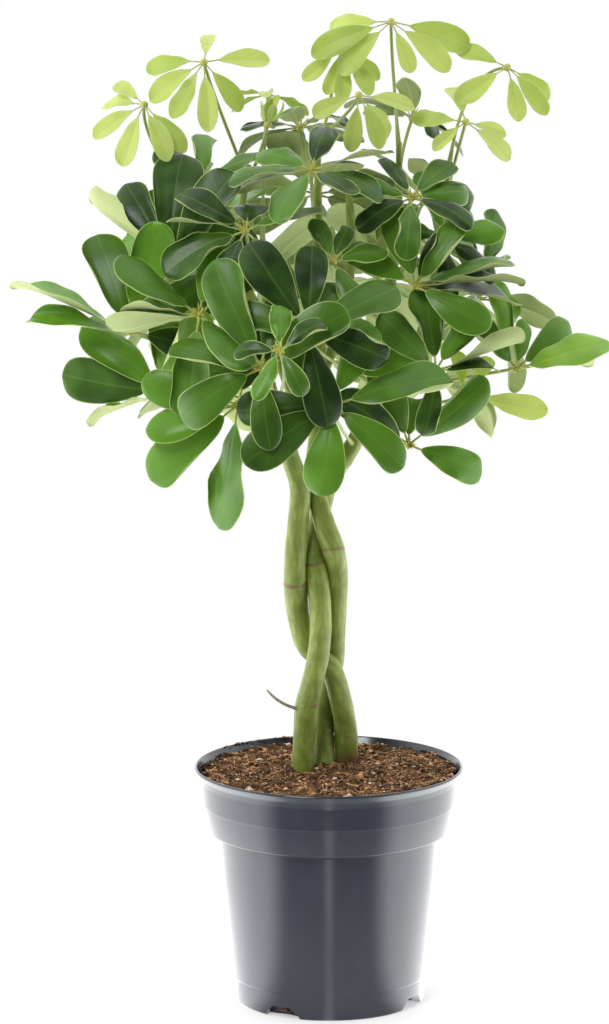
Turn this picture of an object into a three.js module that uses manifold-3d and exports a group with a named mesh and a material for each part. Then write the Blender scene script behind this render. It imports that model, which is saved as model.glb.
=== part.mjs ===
// A potted umbrella plant: three braided trunks in a plastic pot of peat, with
// palmate fronds on long stalks. Millimetres, +Z up, seen from -Y with +X right.
// The origin is the centre of the pot's flat underside.

import * as THREE from 'three';
import { mergeVertices } from 'three/addons/utils/BufferGeometryUtils.js';
import Module from 'manifold-3d';

const wasm = await Module();
wasm.setup();

// Driving dimensions of the pot
const POT_HEIGHT = 150;
const RIM_RADIUS = 85;
const RIM_LIP_HEIGHT = 4;
const LIP_ROOT_RADIUS = 81.6;
const CREASE_RADIUS = 79.5;
const COLLAR_FOOT_RADIUS = 75.5;
const BODY_TOP_RADIUS = 69;
const BASE_RADIUS = 61;
const WALL = 1.4;
const COLLAR_HEIGHT = 41;
const CREASE_DROP = 23;
const STEP_HEIGHT = 4;
const RING_LINE_HEIGHT = 16;
const RAISED_FLOOR = 5;
const FOOT_WIDTH = 8;
const CENTRE_DISC_RADIUS = 15;
const POT_SIDES = 32;

// Drain notches in the foot of the pot
const NOTCH_COUNT = 4;
const NOTCH_FIRST_TURN = -29;
const NOTCH_WIDTH = 26;
const NOTCH_TOP_WIDTH = 13;
const NOTCH_HEIGHT = 7;
const NOTCH_REACH = 8;

// Soil
const SOIL_EDGE_HEIGHT = 145.5;
const SOIL_DOME = { height: 2.5, y: 16, reach: [34, 30] };
const SOIL_FRONT_RISE = 0.0145;
const SOIL_ROUGHNESS = 1.1;
const SOIL_RINGS = [58, 38, 18];

// Clearance that touching pieces keep
const SEAT_GAP = 0.3;
const SOIL_HOLE_GAP = 0.3;

// Trunks and branches
const TRUNK_SIDES = 6;
const BRANCH_SIDES = 6;
const RINGS_PER_SPAN = 2;

// Leaf stalks
const STALK_SIDES = 4;
const STALK_RADIUS = 1.05;
const STALK_FOOT_RADIUS = 1.8;
const STALK_STATIONS = [0.2, 0.45, 0.72, 0.96];
const HUB_RADIUS = 2.6;
const HUB_HEIGHT = 3.6;
const HUB_TIP = 2.88;
const STALK_ARCH = 0.42;
const STALK_BOWS = [0, 0.16, -0.16, 0.32, -0.32];

// Leaflets: share of the length, share of the half width
const MATURE_OUTLINE = [[0.02, 0.045], [0.17, 0.07], [0.42, 0.8], [0.66, 1], [0.88, 0.72]];
const YOUNG_OUTLINE = [[0.02, 0.07], [0.24, 0.1], [0.58, 1], [0.84, 0.66]];
const PETIOLULE_THICKNESS = 1.4;
const LEAFLET_CLEARANCE = 0.5;

// How a leaflet of each age leaves the hub and bends, in degrees, its width as a
// share of its length, and how far its rib stands above its margins (or below)
const AGES = {
  mature: { outline: MATURE_OUTLINE, width: 0.41, start: 14, bend: 42, ridge: 1.8 },
  young: { outline: YOUNG_OUTLINE, width: 0.34, start: -2, bend: 40, ridge: -1.8 },
  unfolding: { outline: YOUNG_OUTLINE, width: 0.3, start: 50, bend: -25, ridge: -1.5 },
};

// Ways a leaflet may move aside for its neighbours: degrees, and share of length
const WAYS_CLEAR = [
  { lift: 0, swing: 0, roll: 0, size: 1 },
  { lift: 12, swing: 0, roll: 0, size: 1 },
  { lift: -14, swing: 0, roll: 0, size: 1 },
  { lift: 0, swing: 0, roll: 28, size: 1 },
  { lift: 0, swing: 0, roll: -28, size: 1 },
  { lift: 24, swing: 6, roll: 0, size: 1 },
  { lift: -28, swing: -6, roll: 0, size: 1 },
  { lift: 8, swing: 9, roll: 20, size: 0.9 },
  { lift: 8, swing: -9, roll: -20, size: 0.9 },
  { lift: 30, swing: 0, roll: 30, size: 0.85 },
  { lift: 30, swing: 0, roll: -30, size: 0.85 },
  { lift: -36, swing: 0, roll: 0, size: 0.85 },
  { lift: 16, swing: 12, roll: 0, size: 0.72 },
  { lift: -16, swing: -12, roll: 0, size: 0.72 },
];

// Most that one leaflet differs from the next: degrees, and share of length
const VARIATION = { swing: 5, length: 0.09, start: 8, roll: 12, bend: 12 };
const FIRST_SEED = 1000;
const SEED_STEP = 37;

// Routes of the trunks from root to crown: x, y, z, radius
const TRUNKS = {
  trunk_left: [
    [12, 25, 106, 6.2], [11.5, 24, 140, 6.6], [11.2, 18, 163, 6.8], [9.5, 12, 180, 6.3],
    [7, 7.5, 193, 6.3], [1.8, 5, 210, 6.3], [-6.8, 5, 219, 6.3], [-14.7, 4, 229, 6.3],
    [-19.1, 1, 247, 6.3], [-20.8, -6, 266, 6.8], [-21, -8, 283, 6.2], [-19.5, -8, 306, 6],
    [-18, -9, 328, 5.8], [-23, -10, 346, 5.3], [-30, -10, 366, 4.8], [-38, -12, 396, 4.2],
    [-46, -8, 430, 3.7], [-52, -2, 465, 3.2], [-54, 4, 500, 2.8], [-50, 8, 530, 2.4],
  ],
  trunk_front: [
    [-17, 5, 106, 6], [-16.4, 4, 140, 6.4], [-15.6, 1.5, 165, 6.3], [-13.9, -3, 187, 6.9],
    [-11, -7, 203, 6.2], [-7.3, -9, 219, 6.2], [-5.1, -9, 240, 6.2], [-5.8, -8.2, 259, 6.2],
    [-8.2, -4, 276, 6.5], [-9.2, 0.5, 287, 6.3], [-6.8, 7.5, 305, 6], [0.2, 12.2, 331, 5.7],
    [10, 13, 345, 5.3], [18, 13, 359, 4.8], [27, 12, 388, 4.3], [34, 8, 421, 3.8],
    [38, 4, 456, 3.4], [42, 0, 491, 3], [43, -3, 520, 2.6], [43, -4, 545, 2.3],
  ],
  trunk_centre: [
    [-2, 13, 106, 6], [-2.7, 14, 140, 6.3], [-3.4, 18, 168, 6.2], [-2.7, 20, 187, 6.2],
    [0.5, 20, 201, 6.2], [3, 18, 214, 6.2], [3.6, 12, 229, 6.2], [4.4, 5.5, 245, 6.2],
    [4.8, 1.5, 260, 6.2], [5, -1, 276, 6.3], [2.4, -5.6, 291, 6.6], [-2.7, -6.6, 306, 6],
    [-7, -1.5, 321, 5.5], [-9.5, 5, 337, 5.2], [-8, 12, 353, 4.9], [-6, 18, 378, 4.4],
    [-6, 22, 412, 3.9], [-6, 24, 447, 3.4], [-7, 22, 490, 3], [-7, 20, 521, 2.6],
    [-7, 18, 550, 2.3],
  ],
};

// Branches that leave a trunk, and the thin dry twig near the foot of one
const BRANCHES = {
  branch_left: {
    trunk: 'trunk_left',
    route: [
      [-34, -11, 382, 3.4], [-50, -2, 402, 3.2], [-66, 6, 431, 2.9], [-76, 10, 466, 2.6],
      [-80, 12, 502, 2.2],
    ],
  },
  branch_right: {
    trunk: 'trunk_front',
    route: [
      [22, 13, 370, 3.6], [42, 9, 392, 3.4], [58, 5, 426, 3.1], [66, 2, 461, 2.8],
      [71, 0, 496, 2.5], [74, -2, 532, 2.2],
    ],
  },
  branch_back_right: {
    trunk: 'trunk_centre',
    route: [
      [-6, 20, 393, 3.4], [4, 38, 415, 3.2], [12, 50, 446, 2.9], [14, 56, 481, 2.6],
      [12, 58, 516, 2.2],
    ],
  },
  branch_back_left: {
    trunk: 'trunk_centre',
    route: [
      [-8, 14, 358, 3.6], [-22, 32, 381, 3.3], [-34, 46, 411, 3], [-40, 54, 446, 2.6],
      [-42, 58, 482, 2.2],
    ],
  },
  dry_twig: {
    trunk: 'trunk_front',
    route: [[-14, -4, 186, 1.1], [-25, -8, 190, 0.9], [-33, -10, 195, 0.8], [-39, -11, 201, 0.6]],
  },
};

// Fronds: the stem and height that carry each stalk, the hub, the way the whorl
// faces (turn from the front towards +X, tilt above level), the leaflets' length,
// and the leaflets by their angle round the whorl, as its upper side is looked at.
// A leaflet that differs gives its share of the length too, and how far it rolls.
const FRONDS = {
  low_front: { stem: 'trunk_front', from: 353, hub: [2, -95, 396], face: [0, 20], length: 64,
    leaflets: [-100, -45, [14, 1.1, -25], 65, 130, -175, -145] },
  front_mid: { stem: 'trunk_front', from: 392, hub: [-14, -92, 441], face: [5, 20], length: 62,
    leaflets: [85, 118, [22, 1, -35], [-20, 0.85], -78, [55, 0.8], [168, 0.85]] },
  small_rosette: { stem: 'trunk_left', from: 382, hub: [-30, -124, 433], face: [-8, 30], length: 33,
    leaflets: [-175, 100, -55, 35, -115] },
  front_left: { stem: 'trunk_left', from: 367, hub: [-42, -98, 419], face: [-10, 15], length: 66,
    leaflets: [[171, 1, 20], [-78, 0.8], [-145, 1, -15], 118, 80, 30] },
  low_left: { stem: 'trunk_left', from: 353, hub: [-56, -58, 390], face: [-6, 8], length: 82,
    leaflets: [-134, [-162, 0.8, 40], [-98, 0.88, 50], [165, 0.8], [70, 0.8]] },
  left_low: { stem: 'trunk_left', from: 374, hub: [-102, -24, 392], face: [-10, 10], length: 76,
    leaflets: [168, [142, 0.85], [-163, 0.7, 100], 100, 60, 25] },
  left_mid: { stem: 'branch_left', from: 398, hub: [-122, -32, 431], face: [-8, 12], length: 92,
    leaflets: [[156, 1, 95], [112, 0.75], [178, 0.75, 80], 20, [-14, 0.8], [74, 0.8]] },
  left_front: { stem: 'trunk_left', from: 402, hub: [-79, -70, 447], face: [-12, 16], length: 68,
    leaflets: [[147, 1, 45], [176, 0.8, 70], [-168, 1, 100], [85, 0.75], -95, [40, 0.8], -40] },
  left_high: { stem: 'branch_left', from: 432, hub: [-98, -36, 474], face: [-8, 14], length: 86,
    leaflets: [[146, 1, 95], [118, 0.66, 25], [84, 0.8], [54, 0.75], [18, 0.7], [-60, 0.8]] },
  right_mid: { stem: 'branch_right', from: 428, hub: [52, -42, 461], face: [8, 16], length: 76,
    leaflets: [[62, 0.6], [43, 0.65, -20], [20, 0.85, -60], [6, 1, -75], [-6, 0.9, -65], [-28,
    0.72], [100, 0.7], [150, 0.7]] },
  right_front: { stem: 'trunk_front', from: 376, hub: [65, -52, 410], face: [8, 14], length: 68,
    leaflets: [[20, 1, -105], [6, 0.6, -60], [95, 0.85], [58, 0.8], [165, 0.8], [140, 0.8], [-100,
    0.6]] },
  far_right: { stem: 'branch_right', from: 388, hub: [116, -4, 404], face: [20, 12], length: 66,
    leaflets: [[38, 0.9, -15], [16, 1, -45], [2, 0.9, -85], [78, 0.5], [128, 0.6]] },
  low_right: { stem: 'trunk_front', from: 362, hub: [49, -34, 361], face: [10, 8], length: 60,
    leaflets: [-27, 40, [76, 0.9], [110, 0.9], 150] },
  high_front: { stem: 'trunk_centre', from: 482, hub: [-11, -42, 531], face: [0, 60], length: 52,
    leaflets: [135, [168, 1, 35], -165, [20, 1, -35], -15, -60, -110, 75] },
  high_right: { stem: 'trunk_front', from: 470, hub: [50, -34, 514], face: [15, 45], length: 44,
    leaflets: [100, 40, 12, 165, -45, -100, -150] },
  high_left: { stem: 'trunk_left', from: 452, hub: [-51, -60, 497], face: [-12, 48], length: 54,
    leaflets: [[178, 1, 40], 150, [30, 1, -30], 90, -45, -100, -145] },
  curled_small: { stem: 'trunk_front', from: 432, hub: [2, -62, 478], face: [10, 40], length: 34,
    leaflets: [110, -70, 20, -150, 60] },
  right_upper: { stem: 'branch_right', from: 474, hub: [70, -18, 488], face: [24, 34], length: 44,
    leaflets: [2, 50, 95, 150, -42, -85] },
  left_upper: { stem: 'trunk_left', from: 484, hub: [-78, -12, 522], face: [-20, 55], length: 46,
    leaflets: [155, 100, -150, 40, -60] },
  left_side: { stem: 'branch_left', from: 466, hub: [-92, 32, 492], face: [-56, 40], length: 50,
    leaflets: [150, 110, 80, -140, -96, 20] },
  right_side: { stem: 'branch_right', from: 446, hub: [96, 26, 461], face: [46, 26], length: 48,
    leaflets: [[15, 0.6, -60], [58, 0.9], 100, -56, -88, 150] },
  back_low_left: { stem: 'branch_back_left', from: 374, hub: [-74, 62, 384], face: [-130, 25],
    length: 68, leaflets: [172, 128, 84, 38, -6, -152] },
  back_low_mid: { stem: 'branch_back_left', from: 394, hub: [-6, 98, 394], face: [178, 25], length:
    68, leaflets: [168, 124, 78, 32, -12, -158] },
  back_low_right: { stem: 'trunk_front', from: 384, hub: [66, 66, 386], face: [132, 25], length: 68,
    leaflets: [174, 126, 82, 36, -10, -156] },
  back_left: { stem: 'branch_left', from: 414, hub: [-106, 48, 432], face: [-112, 35], length: 70,
    leaflets: [178, 128, 76, 26, -30, -84, -136] },
  back_mid_left: { stem: 'branch_back_left', from: 412, hub: [-50, 102, 440], face: [-152, 35],
    length: 70, leaflets: [168, 118, 66, 14, -38, -90, -142] },
  back_mid_right: { stem: 'branch_back_right', from: 424, hub: [32, 108, 446], face: [166, 35],
    length: 70, leaflets: [174, 122, 70, 18, -34, -86, -140] },
  back_right: { stem: 'branch_right', from: 410, hub: [94, 52, 440], face: [118, 35], length: 68,
    leaflets: [166, 114, 62, 12, -40, -92, -144] },
  back_high_left: { stem: 'branch_back_left', from: 446, hub: [-72, 66, 494], face: [-130, 45],
    length: 62, leaflets: [176, 124, 72, 20, -32, -84, -136] },
  back_high_mid: { stem: 'branch_back_right', from: 466, hub: [-8, 92, 502], face: [176, 45],
    length: 60, leaflets: [170, 118, 66, 14, -38, -90, -142] },
  back_high_right: { stem: 'branch_right', from: 478, hub: [60, 66, 500], face: [140, 45], length:
    60, leaflets: [174, 122, 70, 18, -34, -86, -140] },
  top_back: { stem: 'trunk_centre', from: 506, hub: [-18, 56, 548], face: [-165, 68], length: 48,
    leaflets: [170, 118, 66, 14, -38, -90, -142] },
  top_right_back: { stem: 'trunk_front', from: 500, hub: [52, 34, 556], face: [120, 66], length: 44,
    leaflets: [176, 124, 64, 8, -60, -120] },
  young_top_left: { stem: 'trunk_left', from: 522, hub: [-77, -10, 595], face: [-5, 30], length: 42,
    age: 'young', leaflets: [[90, 0.8], 172, 8, -150, -118, -88, -52] },
  young_left: { stem: 'branch_left', from: 498, hub: [-114, 0, 568], face: [-12, 30], length: 40,
    age: 'young', leaflets: [174, [138, 0.8], -145, -116, -66, -40] },
  young_top: { stem: 'trunk_front', from: 540, hub: [38, 0, 619], face: [0, 26], length: 50, age:
    'young', leaflets: [172, -164, -136, -8, [-34, 0.9], [-62, 0.75]] },
  young_top_mid: { stem: 'trunk_centre', from: 532, hub: [8, 12, 602], face: [8, 32], length: 34,
    age: 'young', leaflets: [-115, -90, -66, -38, -152] },
  young_pink: { stem: 'trunk_centre', from: 545, hub: [18, -24, 576], face: [10, 30], length: 36,
    age: 'young', leaflets: [-168, -98, -75, -45, -8] },
  young_right: { stem: 'branch_right', from: 512, hub: [84, -8, 558], face: [5, 26], length: 38,
    age: 'young', leaflets: [170, 105, [-142, 0.75], -38, [-14, 0.7]] },
  young_far_right: { stem: 'branch_right', from: 528, hub: [110, 10, 590], face: [14, 30], length:
    38, age: 'young', leaflets: [152, -150, -80, -52, -28] },
  young_back: { stem: 'branch_back_left', from: 478, hub: [-38, 44, 570], face: [-150, 60], length:
    30, age: 'young', leaflets: [-15, 10, 55, -120, 178] },
  lime_right: { stem: 'trunk_front', from: 368, hub: [84, -14, 389], face: [4, 14], length: 62, age:
    'young', leaflets: [[-5, 1, -30], [50, 0.55], [104, 0.5]] },
  unfolding_tip: { stem: 'trunk_left', from: 514, hub: [-38, -1, 556], face: [20, 62], length: 20,
    age: 'unfolding', leaflets: [170, 110, 50, -20, -100] },
};

// Colours, roughness and metalness
const FINISHES = {
  pot: { color: '#43464f', roughness: 0.35, metalness: 0 },
  soil: { color: '#4a2e1e', roughness: 0.95, metalness: 0 },
  trunk: { color: '#8a9a55', roughness: 0.6, metalness: 0 },
  mature: { color: '#3a6b22', roughness: 0.4, metalness: 0 },
  young: { color: '#b5cc4a', roughness: 0.45, metalness: 0 },
  unfolding: { color: '#a9b65a', roughness: 0.45, metalness: 0 },
};

const radians = THREE.MathUtils.degToRad;

// A repeatable stream of numbers from 0 to 1
function randomStream(seed) {
  let state = seed;
  return () => {
    state = (state * 16807) % 2147483647;
    return state / 2147483647;
  };
}

// Closed solid from a buffer geometry, with shared vertices merged
function solidFromGeometry(geometry) {
  const bare = geometry.clone();
  bare.deleteAttribute('normal');
  bare.deleteAttribute('uv');
  const merged = mergeVertices(bare, 1e-4);
  const mesh = new wasm.Mesh({
    numProp: 3,
    vertProperties: new Float32Array(merged.attributes.position.array),
    triVerts: new Uint32Array(merged.index.array),
  });
  return new wasm.Manifold(mesh);
}

function geometryFromSolid(solid) {
  const mesh = solid.getMesh();
  const geometry = new THREE.BufferGeometry();
  geometry.setAttribute('position', new THREE.BufferAttribute(mesh.vertProperties, 3));
  geometry.setIndex(new THREE.BufferAttribute(mesh.triVerts, 1));
  geometry.computeVertexNormals();
  return geometry;
}

// Six times the volume that a triangle list encloses
function signedVolume(points, faces) {
  let sum = 0;
  const normal = new THREE.Vector3();
  for (let at = 0; at < faces.length; at += 3) {
    normal.crossVectors(points[faces[at + 1]], points[faces[at + 2]]);
    sum += points[faces[at]].dot(normal);
  }
  return sum;
}

// Skin over a row of rings, closed by a flat end and by a flat end or a tip
function skin(rings, tip) {
  const count = rings[0].length;
  const points = rings.flat();
  const faces = [];
  for (let ring = 0; ring + 1 < rings.length; ring += 1) {
    for (let side = 0; side < count; side += 1) {
      const next = (side + 1) % count;
      const a = ring * count + side;
      const b = ring * count + next;
      const c = a + count;
      const d = b + count;
      faces.push(a, b, d, a, d, c);
    }
  }
  for (let side = 1; side + 1 < count; side += 1) {
    faces.push(0, side + 1, side);
  }
  const lastRing = (rings.length - 1) * count;
  if (tip) {
    points.push(tip);
    for (let side = 0; side < count; side += 1) {
      faces.push(lastRing + side, lastRing + ((side + 1) % count), points.length - 1);
    }
  } else {
    for (let side = 1; side + 1 < count; side += 1) {
      faces.push(lastRing, lastRing + side, lastRing + side + 1);
    }
  }
  if (signedVolume(points, faces) < 0) {
    faces.reverse();
  }
  const geometry = new THREE.BufferGeometry();
  geometry.setFromPoints(points);
  geometry.setIndex(faces);
  return solidFromGeometry(geometry);
}

function ringAround(centre, across, over, radius, sides) {
  const ring = [];
  for (let side = 0; side < sides; side += 1) {
    const turn = (2 * Math.PI * side) / sides;
    const point = centre.clone();
    point.addScaledVector(across, radius * Math.cos(turn));
    point.addScaledVector(over, radius * Math.sin(turn));
    ring.push(point);
  }
  return ring;
}

// Outer and inner outline of the pot, turned round its axis
function potProfile() {
  const lipBottom = POT_HEIGHT - RIM_LIP_HEIGHT;
  const collarBottom = POT_HEIGHT - COLLAR_HEIGHT;
  const crease = POT_HEIGHT - CREASE_DROP;
  const bevel = 1;
  const outline = [
    [0, 0],
    [CENTRE_DISC_RADIUS, 0],
    [CENTRE_DISC_RADIUS + 2 * bevel, RAISED_FLOOR],
    [BASE_RADIUS - FOOT_WIDTH - bevel, RAISED_FLOOR],
    [BASE_RADIUS - FOOT_WIDTH, 0],
    [BASE_RADIUS - bevel, 0],
    [BASE_RADIUS, bevel],
    [BASE_RADIUS + bevel, RING_LINE_HEIGHT],
    [BODY_TOP_RADIUS, collarBottom - STEP_HEIGHT],
    [COLLAR_FOOT_RADIUS, collarBottom],
    [CREASE_RADIUS, crease],
    [LIP_ROOT_RADIUS, lipBottom],
    [RIM_RADIUS, lipBottom],
    [RIM_RADIUS, POT_HEIGHT - bevel],
    [RIM_RADIUS - bevel, POT_HEIGHT],
    [LIP_ROOT_RADIUS - WALL, POT_HEIGHT],
    [CREASE_RADIUS - WALL, crease],
    [COLLAR_FOOT_RADIUS - WALL, collarBottom + bevel / 2],
    [BODY_TOP_RADIUS - WALL, collarBottom - STEP_HEIGHT + bevel / 2],
    [BASE_RADIUS - WALL, RAISED_FLOOR + WALL],
    [0, RAISED_FLOOR + WALL],
  ];
  return outline.map(([radius, height]) => new THREE.Vector2(radius, height));
}

// Lathe turns about Y, so the solid is stood up along Z
function turnedSolid(profile) {
  const geometry = new THREE.LatheGeometry(profile, POT_SIDES);
  geometry.rotateX(Math.PI / 2);
  return solidFromGeometry(geometry);
}

// A wedge through the foot's wall, narrower at its top
function notchCutter(turn) {
  const shape = new THREE.Shape();
  shape.moveTo(-NOTCH_WIDTH / 2, -1);
  shape.lineTo(NOTCH_WIDTH / 2, -1);
  shape.lineTo(NOTCH_TOP_WIDTH / 2, NOTCH_HEIGHT);
  shape.lineTo(-NOTCH_TOP_WIDTH / 2, NOTCH_HEIGHT);
  const geometry = new THREE.ExtrudeGeometry(shape, { depth: 2 * NOTCH_REACH, bevelEnabled: false });
  geometry.rotateX(Math.PI / 2);
  geometry.translate(0, NOTCH_REACH - BASE_RADIUS, 0);
  geometry.rotateZ(radians(turn));
  return solidFromGeometry(geometry);
}

function makePot() {
  let pot = turnedSolid(potProfile());
  for (let notch = 0; notch < NOTCH_COUNT; notch += 1) {
    const turn = NOTCH_FIRST_TURN + (360 / NOTCH_COUNT) * notch;
    pot = pot.subtract(notchCutter(turn));
  }
  return pot;
}

// Height of the peat, domed round the trunks and lumpy
function soilHeight(x, y) {
  const [reachX, reachY] = SOIL_DOME.reach;
  const away = (x / reachX) ** 2 + ((y - SOIL_DOME.y) / reachY) ** 2;
  const dome = SOIL_DOME.height * Math.exp(-away);
  const front = SOIL_FRONT_RISE * Math.max(0, x - y);
  const lumps = Math.sin(x * 0.19 + 1.3) * Math.cos(y * 0.17 - 0.4);
  const ripples = Math.sin(Math.hypot(x, y) * 0.4 + x * 0.1) / 2;
  return SOIL_EDGE_HEIGHT + dome + front + SOIL_ROUGHNESS * (lumps + ripples);
}

// The peat fills the pot and follows its inner wall
function makeSoil(trunkHoles) {
  const gap = WALL + SEAT_GAP;
  const collarBottom = POT_HEIGHT - COLLAR_HEIGHT;
  const crease = POT_HEIGHT - CREASE_DROP;
  const bottom = RAISED_FLOOR + WALL + SEAT_GAP;
  const cornerGap = 0.4;
  const wall = [
    [BASE_RADIUS - gap - cornerGap, bottom],
    [BODY_TOP_RADIUS - gap, collarBottom - STEP_HEIGHT + cornerGap],
    [COLLAR_FOOT_RADIUS - gap, collarBottom + 2 * cornerGap],
    [CREASE_RADIUS - gap, crease],
    [LIP_ROOT_RADIUS - 1 - gap, 0],
  ];
  const rings = wall.map(([radius, height]) => soilRing(radius, height));
  for (const radius of SOIL_RINGS) {
    rings.push(soilRing(radius, 0));
  }
  const middle = new THREE.Vector3(0, 0, soilHeight(0, 0));
  let soil = skin(rings, middle);
  for (const hole of trunkHoles) {
    soil = soil.subtract(hole);
  }
  return soil;
}

// A ring of the peat: at a given height, or on its top where that is 0
function soilRing(radius, height) {
  const ring = [];
  for (let side = 0; side < POT_SIDES; side += 1) {
    const turn = (2 * Math.PI * side) / POT_SIDES;
    const x = radius * Math.sin(turn);
    const y = radius * Math.cos(turn);
    ring.push(new THREE.Vector3(x, y, height || soilHeight(x, y)));
  }
  return ring;
}

// Smooth course through the points of a route
function stemCourse(route) {
  const points = route.map(([x, y, z]) => new THREE.Vector3(x, y, z));
  return new THREE.CatmullRomCurve3(points, false, 'catmullrom', 0.5);
}

function radiusAlong(route, share) {
  const place = share * (route.length - 1);
  const span = Math.min(Math.floor(place), route.length - 2);
  return THREE.MathUtils.lerp(route[span][3], route[span + 1][3], place - span);
}

// A round tapering stem along its route, swollen by a clearance where it cuts
function stemSolid(route, sides, clearance) {
  const course = stemCourse(route);
  const steps = (route.length - 1) * RINGS_PER_SPAN;
  const rings = [];
  const forward = new THREE.Vector3(0, 1, 0);
  for (let step = 0; step <= steps; step += 1) {
    const share = step / steps;
    const along = course.getTangent(share);
    const across = new THREE.Vector3().crossVectors(forward, along).normalize();
    const over = new THREE.Vector3().crossVectors(along, across);
    const radius = radiusAlong(route, share) + clearance;
    rings.push(ringAround(course.getPoint(share), across, over, radius, sides));
  }
  return skin(rings, null);
}

function trunkSolid(name, clearance) {
  let trunk = stemSolid(TRUNKS[name], TRUNK_SIDES, clearance);
  for (const branch of Object.values(BRANCHES)) {
    if (branch.trunk === name) {
      trunk = trunk.add(stemSolid(branch.route, BRANCH_SIDES, clearance));
    }
  }
  return trunk;
}

// The point on a stem's course at a given height
function stemPointAt(stem, height) {
  const route = TRUNKS[stem] ?? BRANCHES[stem].route;
  const course = stemCourse(route);
  let low = 0;
  let high = 1;
  for (let pass = 0; pass < 30; pass += 1) {
    const middle = (low + high) / 2;
    if (course.getPoint(middle).z < height) {
      low = middle;
    } else {
      high = middle;
    }
  }
  return course.getPoint(low);
}

function facing([turn, tilt]) {
  const level = Math.cos(radians(tilt));
  return new THREE.Vector3(
    level * Math.sin(radians(turn)),
    -level * Math.cos(radians(turn)),
    Math.sin(radians(tilt)),
  );
}

// A leaf stalk that leaves its stem, arches and ends in the swollen hub
function stalkSolid(frond, bow, clearance) {
  const foot = stemPointAt(frond.stem, frond.from);
  const hub = new THREE.Vector3(...frond.hub);
  const face = facing(frond.face);
  const reach = foot.distanceTo(hub);
  const sideways = new THREE.Vector3().subVectors(hub, foot).cross(face).normalize();
  const bend = hub.clone().addScaledVector(face, -STALK_ARCH * reach);
  bend.addScaledVector(sideways, bow * reach);
  const course = new THREE.QuadraticBezierCurve3(foot, bend, hub);
  const radii = [[0, STALK_FOOT_RADIUS], ...STALK_STATIONS.map((share) => [share, STALK_RADIUS])];
  const plane = new THREE.Vector3().subVectors(bend, foot);
  plane.cross(new THREE.Vector3().subVectors(hub, bend)).normalize();
  const rings = radii.map(([share, radius]) => {
    const along = course.getTangent(share);
    const over = new THREE.Vector3().crossVectors(along, plane).normalize();
    return ringAround(course.getPoint(share), plane, over, radius + clearance, STALK_SIDES);
  });
  const axis = course.getTangent(1);
  const over = new THREE.Vector3().crossVectors(axis, plane).normalize();
  for (const rise of [-HUB_HEIGHT / 2, HUB_HEIGHT / 2]) {
    const centre = hub.clone().addScaledVector(axis, rise);
    rings.push(ringAround(centre, plane, over, HUB_RADIUS + clearance, STALK_SIDES));
  }
  const tip = hub.clone().addScaledVector(axis, HUB_TIP + clearance);
  return skin(rings, tip);
}

// The direction at an angle in the whorl's plane: 0 is level to the right of
// someone who looks at the whorl's upper side, and 90 is upwards
function spokeDirection([turn], face, angle) {
  const level = new THREE.Vector3(Math.cos(radians(turn)), Math.sin(radians(turn)), 0);
  const upward = new THREE.Vector3().crossVectors(face, level);
  level.multiplyScalar(Math.cos(radians(angle)));
  return level.addScaledVector(upward, Math.sin(radians(angle)));
}

// What one leaflet is like before it moves aside
function leafletCharacter(frond, leaflet, random) {
  const [angle, size = 1, roll = 0] = [leaflet].flat();
  const age = AGES[frond.age ?? 'mature'];
  const spread = () => 2 * random() - 1;
  const length = frond.length * size * (1 + VARIATION.length * spread());
  return {
    age,
    length,
    angle: angle + VARIATION.swing * spread(),
    start: age.start + VARIATION.start * spread(),
    bend: age.bend + VARIATION.bend * spread(),
    roll: roll + VARIATION.roll * spread(),
    halfWidth: (age.width * length * (1 + VARIATION.length * spread())) / 2,
  };
}

// A section of a leaflet: two margins and the ridge, or five corners round them
function leafletSection(middle, across, over, half, rise, clearance) {
  const corner = (aside, above) => {
    const point = middle.clone().addScaledVector(across, aside);
    return point.addScaledVector(over, above);
  };
  if (clearance === 0) {
    return [corner(half, -rise), corner(0, rise), corner(-half, -rise)];
  }
  const wide = half + clearance;
  const shift = Math.sign(rise) * clearance;
  return [
    corner(wide, -rise - shift),
    corner(wide, -rise + shift),
    corner(0, rise + shift),
    corner(-wide, -rise + shift),
    corner(-wide, -rise - shift),
  ];
}

// A leaflet: an arc from the hub that bends back, with a ridge along its rib
function leafletSolid(frond, leaflet, way, clearance, firstStation) {
  const face = facing(frond.face);
  const hub = new THREE.Vector3(...frond.hub);
  const out = spokeDirection(frond.face, face, leaflet.angle + way.swing);
  const side = new THREE.Vector3().crossVectors(face, out);
  const length = leaflet.length * way.size;
  const start = radians(leaflet.start + way.lift);
  const bend = radians(leaflet.bend);
  const roll = radians(leaflet.roll + way.roll);
  const pointAt = (share) => {
    const now = start - bend * share;
    const point = hub.clone();
    point.addScaledVector(out, (length / bend) * (Math.sin(start) - Math.sin(now)));
    point.addScaledVector(face, (length / bend) * (Math.cos(now) - Math.cos(start)));
    return point;
  };
  const rings = leaflet.age.outline.slice(firstStation).map(([share, width], index) => {
    const now = start - bend * share;
    const up = out.clone().multiplyScalar(-Math.sin(now));
    up.addScaledVector(face, Math.cos(now));
    const across = side.clone().multiplyScalar(Math.cos(roll));
    across.addScaledVector(up, Math.sin(roll));
    const over = up.clone().multiplyScalar(Math.cos(roll));
    over.addScaledVector(side, -Math.sin(roll));
    const half = leaflet.halfWidth * way.size * width;
    const ridge = leaflet.age.ridge;
    const blade = firstStation + index > 1;
    const rise = blade ? ridge / 2 : (Math.sign(ridge) * PETIOLULE_THICKNESS) / 2;
    return leafletSection(pointAt(share), across, over, half, rise, clearance);
  });
  const tip = pointAt(1);
  tip.addScaledVector(out, 2 * clearance * Math.cos(start - bend));
  tip.addScaledVector(face, 2 * clearance * Math.sin(start - bend));
  return skin(rings, tip);
}

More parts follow.
